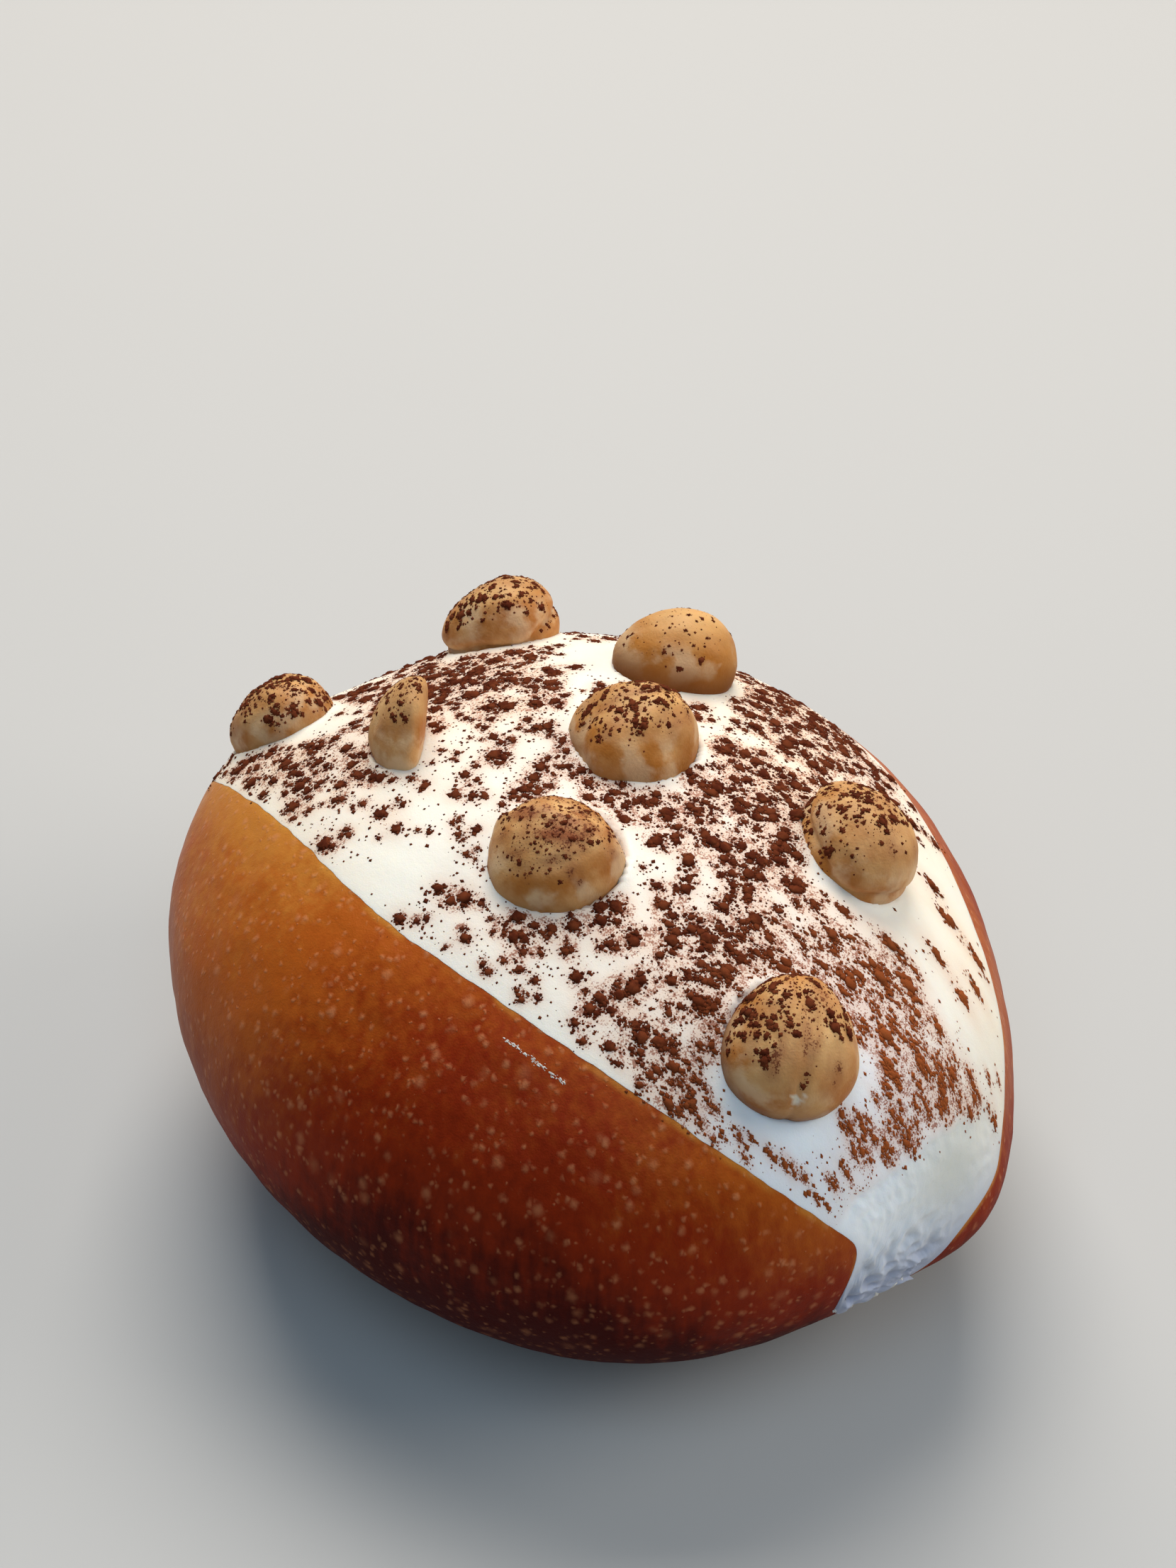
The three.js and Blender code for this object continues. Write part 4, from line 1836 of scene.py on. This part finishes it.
def dress(piece: Piece, material: Material, slot: str, *nodes: str) -> Piece:
    """Gives a piece its material and body, and hides the solids that it stands for.

    Args:
        piece: what is dressed.
        material: its finish.
        slot: not used.
        nodes: names of the solids that it replaces.

    Returns:
        The piece.
    """
    piece.data.materials.append(material)
    if nodes:
        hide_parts(*nodes)
    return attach(piece, BODY)


class SharedGroups:
    """Shader node groups that more than one finish uses."""

    POWDER_NOISES = ((1.0, 3.0, 0.45), (0.22, 2.0, 0.55))  # size, detail and weight
    POWDER_LIMITS = (0.76, 0.48)  # what the noise has to pass where none and most fell
    POWDER_EDGE = 0.1
    GRAIN_NOISES = ((1.0, 0.7), (4.0, 0.35))  # times the scale, and weight
    GRAIN_DETAIL = 3.0

    def __init__(self) -> None:
        """Builds each group once."""
        self.sifted = self._sifted_cocoa()
        self.grain = self._fine_grain()

    @staticmethod
    def _new(name: str, given: str, result: str) -> bpy.types.NodeTree:
        """A group with one named float input and one named float output.

        Args:
            name: the group's name.
            given: its input.
            result: its output.

        Returns:
            The group's tree.
        """
        tree = bpy.data.node_groups.new(name, "ShaderNodeTree")
        for label, way in ((given, "INPUT"), (result, "OUTPUT")):
            tree.interface.new_socket(label, in_out=way, socket_type="NodeSocketFloat")
        return tree

    def _sifted_cocoa(self) -> bpy.types.NodeTree:
        """Mask of powder too fine to stand out: layered noise cut off by how much fell.

        Returns:
            The group's tree.
        """
        tree = self._new("Sifted cocoa", "Amount", "Mask")
        sheet = NodeSheet(tree)
        amount = sheet.add("NodeGroupInput").outputs["Amount"]
        place = sheet.place()
        noises = [
            (sheet.noise(place, size, detail), weight)
            for size, detail, weight in self.POWDER_NOISES
        ]
        limit = sheet.ease(amount, 0.0, 1.0, *self.POWDER_LIMITS)
        mask = sheet.ease(sheet.sum(*noises), limit, sheet.math("ADD", limit, self.POWDER_EDGE))
        sheet.feed(sheet.add("NodeGroupOutput").inputs["Mask"], mask)
        return tree

    def _fine_grain(self) -> bpy.types.NodeTree:
        """Height of a fine uneven surface: two noises, one a quarter the size of the other.

        Returns:
            The group's tree.
        """
        tree = self._new("Fine grain", "Scale", "Height")
        sheet = NodeSheet(tree)
        scale = sheet.add("NodeGroupInput").outputs["Scale"]
        place = sheet.place()
        layers = []
        for times, weight in self.GRAIN_NOISES:
            node = sheet.add("ShaderNodeTexNoise")
            inputs = {"Vector": place, "Scale": sheet.times(scale, times)}
            sheet.fill(node, {**inputs, "Detail": self.GRAIN_DETAIL})
            layers.append((node.outputs[0], weight))
        sheet.feed(sheet.add("NodeGroupOutput").inputs["Height"], sheet.sum(*layers))
        return tree


@dataclass(frozen=True)
class Finish:
    """What all finishes share: how rough, grainy and glossy they are, and how light seeps in."""

    name: str
    rough: Pair = (0.5, 0.7)
    rough_range: Pair = (0.3, 0.7)
    grain: float = 1.0
    relief: float = 0.05
    gloss: float = 0.1
    glow: float = 0.0
    glow_reach: float = 1.5
    glow_shares: Colour = (1.0, 0.8, 0.55)

    def material(self, groups: SharedGroups) -> Material:
        """Builds the material.

        Args:
            groups: the shared shader groups.

        Returns:
            The material.
        """
        material, sheet = new_material(self.name)
        self._paint(sheet, groups)
        return material

    def _paint(self, sheet: NodeSheet, groups: SharedGroups) -> None:
        """Feeds the shader, which each finish does in a way of its own."""
        raise NotImplementedError

    def _fill(
        self, sheet: NodeSheet, groups: SharedGroups, colour: Socket, uneven: Socket,
        *bumps: tuple[Socket, float],
    ) -> None:
        """Feeds the shader with a colour, an uneven roughness, fine grain, gloss and glow.

        Args:
            sheet: what adds nodes.
            groups: the shared shader groups.
            colour: its colour.
            uneven: what its roughness follows.
            bumps: heights beside the grain, and their weights.
        """
        grain = sheet.group(groups.grain, Scale=1.0 / (self.grain * MM))
        inputs = {
            "Base Color": colour,
            "Roughness": sheet.ease(uneven, *self.rough_range, *self.rough),
            "Normal": sheet.bump(sheet.sum((grain, 1.0), *bumps), self.relief),
            "Specular IOR Level": self.gloss,
            "Subsurface Weight": self.glow,
            "Subsurface Radius": self.glow_shares,
            "Subsurface Scale": self.glow_reach * MM,
        }
        sheet.fill(sheet.shader, inputs)


@dataclass(frozen=True)
class Blisters:
    """Blisters of one kind: how far apart their places are, their largest reach and strength."""

    apart: float
    reach: float
    strength: float


@dataclass(frozen=True)
class CrustFinish(Finish):
    """Satin baked crust: golden to deep brown, darker low down and in front partly by painted shade,
    with pale soft blisters and a paler cut edge.
    """

    name: str = "baked crust"
    straw: Colour = (0.54, 0.19, 0.028)
    amber: Colour = (0.43, 0.092, 0.009)
    brown: Colour = (0.24, 0.018, 0.001)
    # Nearly black, for the lowest crust: mostly painted shade, partly the deepest baking.
    dark: Colour = (0.05, 0.002, 0.0003)
    blister: Colour = (0.62, 0.24, 0.10)
    crumb: Colour = (0.64, 0.27, 0.04)
    streak: float = 0.28
    streak_size: float = 1.2
    streak_stretch: Point = (1.0, 1.0, 0.14)
    mottle: float = 0.16
    mottle_size: float = 1.6
    detail: float = 4.0
    ambering: Pair = (0.0, 0.3)
    browning: Pair = (0.28, 0.64)
    darkening_and_shade: Pair = (0.58, 0.92)
    edge: Pair = (0.3, 1.3)
    edge_share: float = 0.55
    edge_size: float = 6.0
    edge_patches: Pair = (0.45, 0.65)
    blister_bakes: Pair = (0.3, 1.0)
    blister_shares: Pair = (0.7, 0.35)
    blister_draws: Pair = (0.25, 0.85)
    blister_least: float = 0.01
    blister_height: float = 0.8
    blister_stretch: Point = (1.0, 1.0, 0.8)
    blister_bend: Pair = (0.8, 0.75)
    blisters: tuple[Blisters, ...] = (
        Blisters(5.0, 0.26, 0.4),
        Blisters(2.6, 0.38, 0.75),
        Blisters(1.6, 0.45, 0.85),
        Blisters(1.0, 0.5, 0.75),
    )
    rough: Pair = (0.4, 0.7)
    rough_range: Pair = (0.3, 0.9)
    grain: float = 0.9
    relief: float = 0.09
    gloss: float = 0.08

    def _paint(self, sheet: NodeSheet, groups: SharedGroups) -> None:
        """Feeds the shader with the baked colour, painted shade in it, and the blisters.

        Args:
            sheet: what adds nodes.
            groups: the shared shader groups.
        """
        # The attribute carries painted shade as well as the baking.
        baked = sheet.attribute("bake_and_shade")
        spots = self._blisters(sheet)
        colour = self._colour(sheet, baked, spots)
        self._fill(sheet, groups, colour, baked, (spots, self.blister_height))

    def _colour(self, sheet: NodeSheet, baked: Socket, spots: Socket) -> Socket:
        """Straw to amber to brown to dark as it is baked, and as painted shade falls low down and in
        front, with upright streaks and fine mottling.

        Args:
            sheet: what adds nodes.
            baked: how dark it is baked, with painted shade low down and in front.
            spots: mask of the blisters.

        Returns:
            The colour.
        """
        place = sheet.place()
        streaks = sheet.noise(sheet.place(self.streak_stretch), self.streak_size, self.detail)
        mottle = sheet.noise(place, self.mottle_size, self.detail)
        uneven = sheet.sum((streaks, self.streak), (mottle, self.mottle), (baked, 1.0))
        bake_and_shade = sheet.math("SUBTRACT", uneven, (self.streak + self.mottle) / 2.0)
        share = sheet.ease(baked, *self.blister_bakes, *self.blister_shares)
        patches = sheet.noise(place, self.edge_size)
        here = sheet.ease(patches, *self.edge_patches, 0.0, self.edge_share)
        edge = sheet.ease(sheet.attribute("lip"), *self.edge, 1.0, 0.0)
        return sheet.coats(
            self.straw,
            (sheet.ease(bake_and_shade, *self.ambering), self.amber),
            (sheet.ease(bake_and_shade, *self.browning), self.brown),
            (sheet.ease(bake_and_shade, *self.darkening_and_shade), self.dark),
            (sheet.times(spots, share), self.blister),
            (sheet.times(edge, here), self.crumb),
        )

    def _blisters(self, sheet: NodeSheet) -> Socket:
        """Mask of soft uneven blisters round scattered points, each with a reach of its own.

        Args:
            sheet: what adds nodes.

        Returns:
            The mask.
        """
        place = sheet.warped(sheet.place(self.blister_stretch), *self.blister_bend)
        masks = []
        for blisters in self.blisters:
            distance, own = sheet.cells(place, blisters.apart)
            reach = sheet.ease(own, *self.blister_draws, self.blister_least, blisters.reach)
            masks.append(sheet.ease(distance, 0.0, reach, blisters.strength, 0.0))
        return reduce(partial(sheet.math, "MAXIMUM"), masks)


@dataclass(frozen=True)
class CreamFinish(Finish):
    """Soft whipped cream, greyer where it was scraped, partly as painted shade, with painted
    yellowish light at the back, painted bluish shade in front and painted lavender shade low on
    the front end, under fine cocoa and its brown haze.
    """

    name: str = "whipped cream"
    white: Colour = (0.93, 0.88, 0.78)
    # A slight share everywhere is the cream's own tone; the rest is painted light at the back and
    # right.
    buttery_and_lit: Colour = (0.90, 0.74, 0.50)
    tone_and_light_shares: Pair = (0.08, 0.6)
    # Painted bluish shade at the front.
    cool_shade: Colour = (0.88, 0.94, 1.0)
    cool_shade_share: float = 0.8
    # Grey of the wiped patch: partly its own tone, partly painted shade.
    worn_and_shade: Colour = (0.66, 0.66, 0.60)
    # Painted lavender shade low on the front end.
    low: Colour = (0.40, 0.44, 0.56)
    haze: Colour = (0.72, 0.33, 0.16)
    cocoa: Colour = (0.30, 0.065, 0.016)
    haze_shares: Pair = (0.3, 0.12)
    powder_shares: Pair = (0.7, 0.35)
    powder_share: float = 0.8
    soft_size: float = 9.0
    detail: float = 3.0
    grain: float = 0.7
    glow: float = 0.35
    gloss: float = 0.2

    def _paint(self, sheet: NodeSheet, groups: SharedGroups) -> None:
        """Feeds the shader with the cream's tints, painted light and shade among them, and with fine
        cocoa over them.

        Args:
            sheet: what adds nodes.
            groups: the shared shader groups.
        """
        soft = sheet.noise(sheet.place(), self.soft_size, self.detail)
        dust, halo = sheet.attribute("dust"), sheet.attribute("halo")
        warm_light = sheet.ease(sheet.attribute("warm_light"), 0.0, 1.0, *self.tone_and_light_shares)
        amount = sheet.sum(*zip((halo, dust), self.powder_shares))
        powder = sheet.group(groups.sifted, Amount=amount)
        colour = sheet.coats(
            self.white,
            (sheet.times(soft, warm_light), self.buttery_and_lit),
            (sheet.times(sheet.attribute("cool_shade"), self.cool_shade_share), self.cool_shade),
            (sheet.attribute("worn_and_shade"), self.worn_and_shade),
            # Painted lavender shade low on the front end.
            (sheet.attribute("low"), self.low),
            (sheet.sum(*zip((halo, dust), self.haze_shares)), self.haze),
            (sheet.times(powder, self.powder_share), self.cocoa),
        )
        self._fill(sheet, groups, colour, soft)


@dataclass(frozen=True)
class KernelFinish(Finish):
    """Blanched, roasted hazelnut: golden tan with a whitish veil, painted shade low down and painted
    light towards the top, dusted on top.
    """

    name: str = "roasted kernel"
    golden: Colour = (0.45, 0.155, 0.027)
    pale: Colour = (0.64, 0.335, 0.125)
    roasted: Colour = (0.46, 0.16, 0.012)
    veil: Colour = (0.80, 0.57, 0.34)
    # Painted shade on the lower part.
    low: Colour = (0.20, 0.062, 0.009)
    # Painted light towards the top.
    painted_light: Colour = (0.76, 0.46, 0.19)
    smudge: Colour = (0.30, 0.09, 0.028)
    cocoa: Colour = (0.15, 0.034, 0.012)
    mark: Colour = (0.78, 0.66, 0.50)
    mottle_size: float = 3.6
    mottle_range: Pair = (0.32, 0.68)
    detail: float = 5.0
    veil_size: float = 4.2
    veil_range: Pair = (0.46, 0.62)
    veil_share: float = 0.55
    veil_heights: Pair = (0.75, 0.35)
    painted_light_heights: Pair = (0.45, 1.05)
    painted_light_share: float = 0.7
    smudge_share: float = 0.65
    powder_share: float = 0.9
    rough: Pair = (0.48, 0.66)
    grain: float = 1.1
    relief: float = 0.12
    glow: float = 0.25
    glow_reach: float = 1.6
    glow_shares: Colour = (1.0, 0.6, 0.3)
    gloss: float = 0.12
    sheen: float = 0.1
    sheen_rough: float = 0.35

    def _paint(self, sheet: NodeSheet, groups: SharedGroups) -> None:
        """Feeds the shader with the skin's tints, painted shade and light among them, cocoa over them,
        and a thin sheen.

        Args:
            sheet: what adds nodes.
            groups: the shared shader groups.
        """
        place = sheet.place()
        stain = sheet.attribute("stain")
        mottle = sheet.noise(place, self.mottle_size, self.detail)
        above = sheet.attribute("above")
        veil = sheet.noise(place, self.veil_size, self.detail)
        veil = sheet.ease(veil, *self.veil_range, 0.0, self.veil_share)
        veil = sheet.times(veil, sheet.ease(above, *self.veil_heights))
        powder = sheet.group(groups.sifted, Amount=stain)
        colour = sheet.coats(
            self.golden,
            (sheet.ease(mottle, *self.mottle_range), self.pale),
            (sheet.attribute("roast"), self.roasted),
            (veil, self.veil),
            # Painted shade low down.
            (sheet.attribute("low"), self.low),
            # Painted light towards the top.
            (sheet.ease(above, *self.painted_light_heights, 0.0, self.painted_light_share), self.painted_light),
            (sheet.times(stain, self.smudge_share), self.smudge),
            (sheet.times(powder, self.powder_share), self.cocoa),
            (sheet.attribute("mark"), self.mark),
        )
        self._fill(sheet, groups, colour, mottle)
        sheen = sheet.ease(powder, 0.0, 1.0, self.sheen, 0.0)
        sheet.fill(sheet.shader, {"Coat Weight": sheen, "Coat Roughness": self.sheen_rough})


@dataclass(frozen=True)
class CocoaFinish(Finish):
    """Matt cocoa powder in lumps, redder where it lies thin on the front slope."""

    name: str = "cocoa powder"
    dark: Colour = (0.08, 0.014, 0.005)
    light: Colour = (0.15, 0.034, 0.012)
    thin: Colour = (0.38, 0.095, 0.024)
    thin_share: float = 0.75
    thin_places: Pair = (22.0, 46.0)
    mottle_size: float = 1.2
    mottle_range: Pair = (0.35, 0.65)
    detail: float = 3.0
    rough: Pair = (0.85, 0.98)
    grain: float = 0.2
    gloss: float = 0.05

    def _paint(self, sheet: NodeSheet, groups: SharedGroups) -> None:
        """Feeds the shader with dark and lighter brown, and a redder one in front.

        Args:
            sheet: what adds nodes.
            groups: the shared shader groups.
        """
        place = sheet.place()
        mottle = sheet.noise(place, self.mottle_size, self.detail)
        places = (end * MM for end in self.thin_places)
        front = sheet.ease(sheet.ahead(place), *places, 0.0, self.thin_share)
        shade = sheet.ease(mottle, *self.mottle_range)
        colour = sheet.coats(self.dark, (shade, self.light), (front, self.thin))
        self._fill(sheet, groups, colour, mottle)


@dataclass(frozen=True)
class Lamp:
    """A soft square lamp: place and aim in metres, side length, power and colour."""

    name: str
    at: Point
    aim: Point
    side: float
    power: float
    colour: Colour


@dataclass(frozen=True)
class Studio:
    """Pale floor, soft lamps, even surroundings and the camera."""

    lamps: tuple[Lamp, ...] = (
        Lamp("key", (-0.38, 0.34, 0.75), (0.0, 0.0, 0.03), 0.6, 9.0, (1.0, 0.97, 0.92)),
        Lamp("side", (0.55, 0.50, 0.50), (0.0, 0.0, 0.03), 0.5, 3.5, (1.0, 0.96, 0.9)),
        Lamp("fill", (0.28, -0.40, 0.85), (0.0, 0.0, 0.03), 0.7, 3.0, (0.52, 0.76, 1.0)),
    )
    sky: Colour = (0.92, 0.95, 1.0)
    sky_strength: float = 0.12
    floor_half: float = 6.0
    floor_pale: Colour = (0.48, 0.465, 0.445)
    floor_cloud: Colour = (0.44, 0.43, 0.415)
    floor_cloud_size: float = 60.0
    floor_cloud_share: float = 0.15
    floor_detail: float = 3.0
    floor_rough: float = 0.7
    eye: Point = (165.0, -179.7, 283.9)
    elevation: float = 42.6
    bearing: float = 47.3
    focal_pixels: float = 4154.0
    image_height: float = 2212.0
    sensor: float = 36.0

    def build_camera(self, placing: Placing) -> None:
        """Sets the camera from its place, elevation and bearing in the maker's frame.

        Args:
            placing: what carries its place into the frame.
        """
        rise, turn = np.radians(self.elevation), np.radians(self.bearing)
        back = np.array([np.cos(rise) * np.cos(turn), -np.cos(rise) * np.sin(turn), np.sin(rise)])
        lens = bpy.data.cameras.new("camera")
        lens.sensor_width = self.sensor
        lens.lens = self.focal_pixels * self.sensor / self.image_height
        camera = add_object("camera", lens)
        camera.matrix_world = self._facing(placing.to_frame(np.array(self.eye)), back)
        bpy.context.scene.camera = camera

    def build_lamps(self) -> None:
        """Hangs each lamp so that it faces its aim."""
        for lamp in self.lamps:
            light = bpy.data.lights.new(lamp.name, "AREA")
            light.size = lamp.side
            light.energy = lamp.power
            light.color = lamp.colour
            place = np.array(lamp.at)
            pose = self._facing(place, unit(place - np.array(lamp.aim)))
            add_object(lamp.name, light).matrix_world = pose

    @staticmethod
    def _facing(place: Array, back: Array) -> Matrix:
        """Pose at a place with the back direction as its Z and its X level.

        Args:
            place: where it is, in metres.
            back: unit vector that points back from it.

        Returns:
            The pose.
        """
        right = unit(np.cross([0.0, 0.0, 1.0], back))
        pose = np.eye(4)
        pose[:3, :3] = np.stack([right, np.cross(back, right), back], axis=1)
        pose[:3, 3] = place
        return Matrix(pose.tolist())

    def build_surroundings(self) -> None:
        """Lights the scene evenly from all round, and shows colours as they are."""
        world = bpy.data.worlds.new("surroundings")
        world.use_nodes = True
        background = world.node_tree.nodes["Background"]
        background.inputs["Color"].default_value = (*self.sky, 1.0)
        background.inputs["Strength"].default_value = self.sky_strength
        bpy.context.scene.world = world
        bpy.context.scene.view_settings.view_transform = "Standard"

    def build_floor(self) -> Piece:
        """Lays the pale floor under the bun.

        Returns:
            The floor.
        """
        half = self.floor_half
        corners = [(-half, -half, 0.0), (half, -half, 0.0), (half, half, 0.0), (-half, half, 0.0)]
        mesh = bpy.data.meshes.new("floor")
        mesh.from_pydata(corners, [], [(0, 1, 2, 3)])
        floor = add_object("floor", mesh)
        material, sheet = new_material("pale floor")
        cloud = sheet.noise(sheet.place(), self.floor_cloud_size, self.floor_detail)
        share = sheet.times(cloud, self.floor_cloud_share)
        shade = sheet.blend(share, self.floor_pale, self.floor_cloud)
        sheet.fill(sheet.shader, {"Base Color": shade, "Roughness": self.floor_rough})
        mesh.materials.append(material)
        return floor


def packed_placing(dough: Dough) -> Placing:
    """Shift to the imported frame, whose origin is the middle of the part's box in plan."""
    middle = dough.middle()
    return Placing((-middle[0], -middle[1], 0.0))


def main() -> None:
    """Builds the maritozzo and its studio in order and reports each piece."""
    logging.basicConfig(level=logging.INFO, format="%(message)s")
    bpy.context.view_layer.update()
    dough, cut = Dough(), Cut()
    placing = packed_placing(dough)
    maker = MeshMaker(placing)
    groups = SharedGroups()
    cream = Cream(dough, cut, KERNELS)
    sifting = Sifting(cream)
    powder = sifting.powder_on_cream()
    cocoa_finish = CocoaFinish().material(groups)
    cream_finish = CreamFinish().material(groups)
    kernel_finish = KernelFinish().material(groups)
    crust = Crust(dough, cut)
    pieces = [crust.build(maker, CrustFinish().material(groups))]
    pieces.append(cream.build(maker, powder, cream_finish))
    pieces.append(Flecks(crust).build(maker, cream_finish))
    pieces.extend(kernel.build(maker, dough, kernel_finish) for kernel in KERNELS)
    pieces.extend(powder.build(maker, cocoa_finish))
    kernel_cocoa = CocoaFinish("cocoa on kernels", thin_share=0.0).material(groups)
    pieces.extend(sifting.powder_on_kernels().build(maker, kernel_cocoa))
    studio = Studio()
    studio.build_camera(placing)
    studio.build_lamps()
    studio.build_surroundings()
    pieces.append(studio.build_floor())
    for piece in pieces:
        LOG.info("%s: %d faces", piece.name, len(piece.data.polygons))


if __name__ == "__main__":
    main()
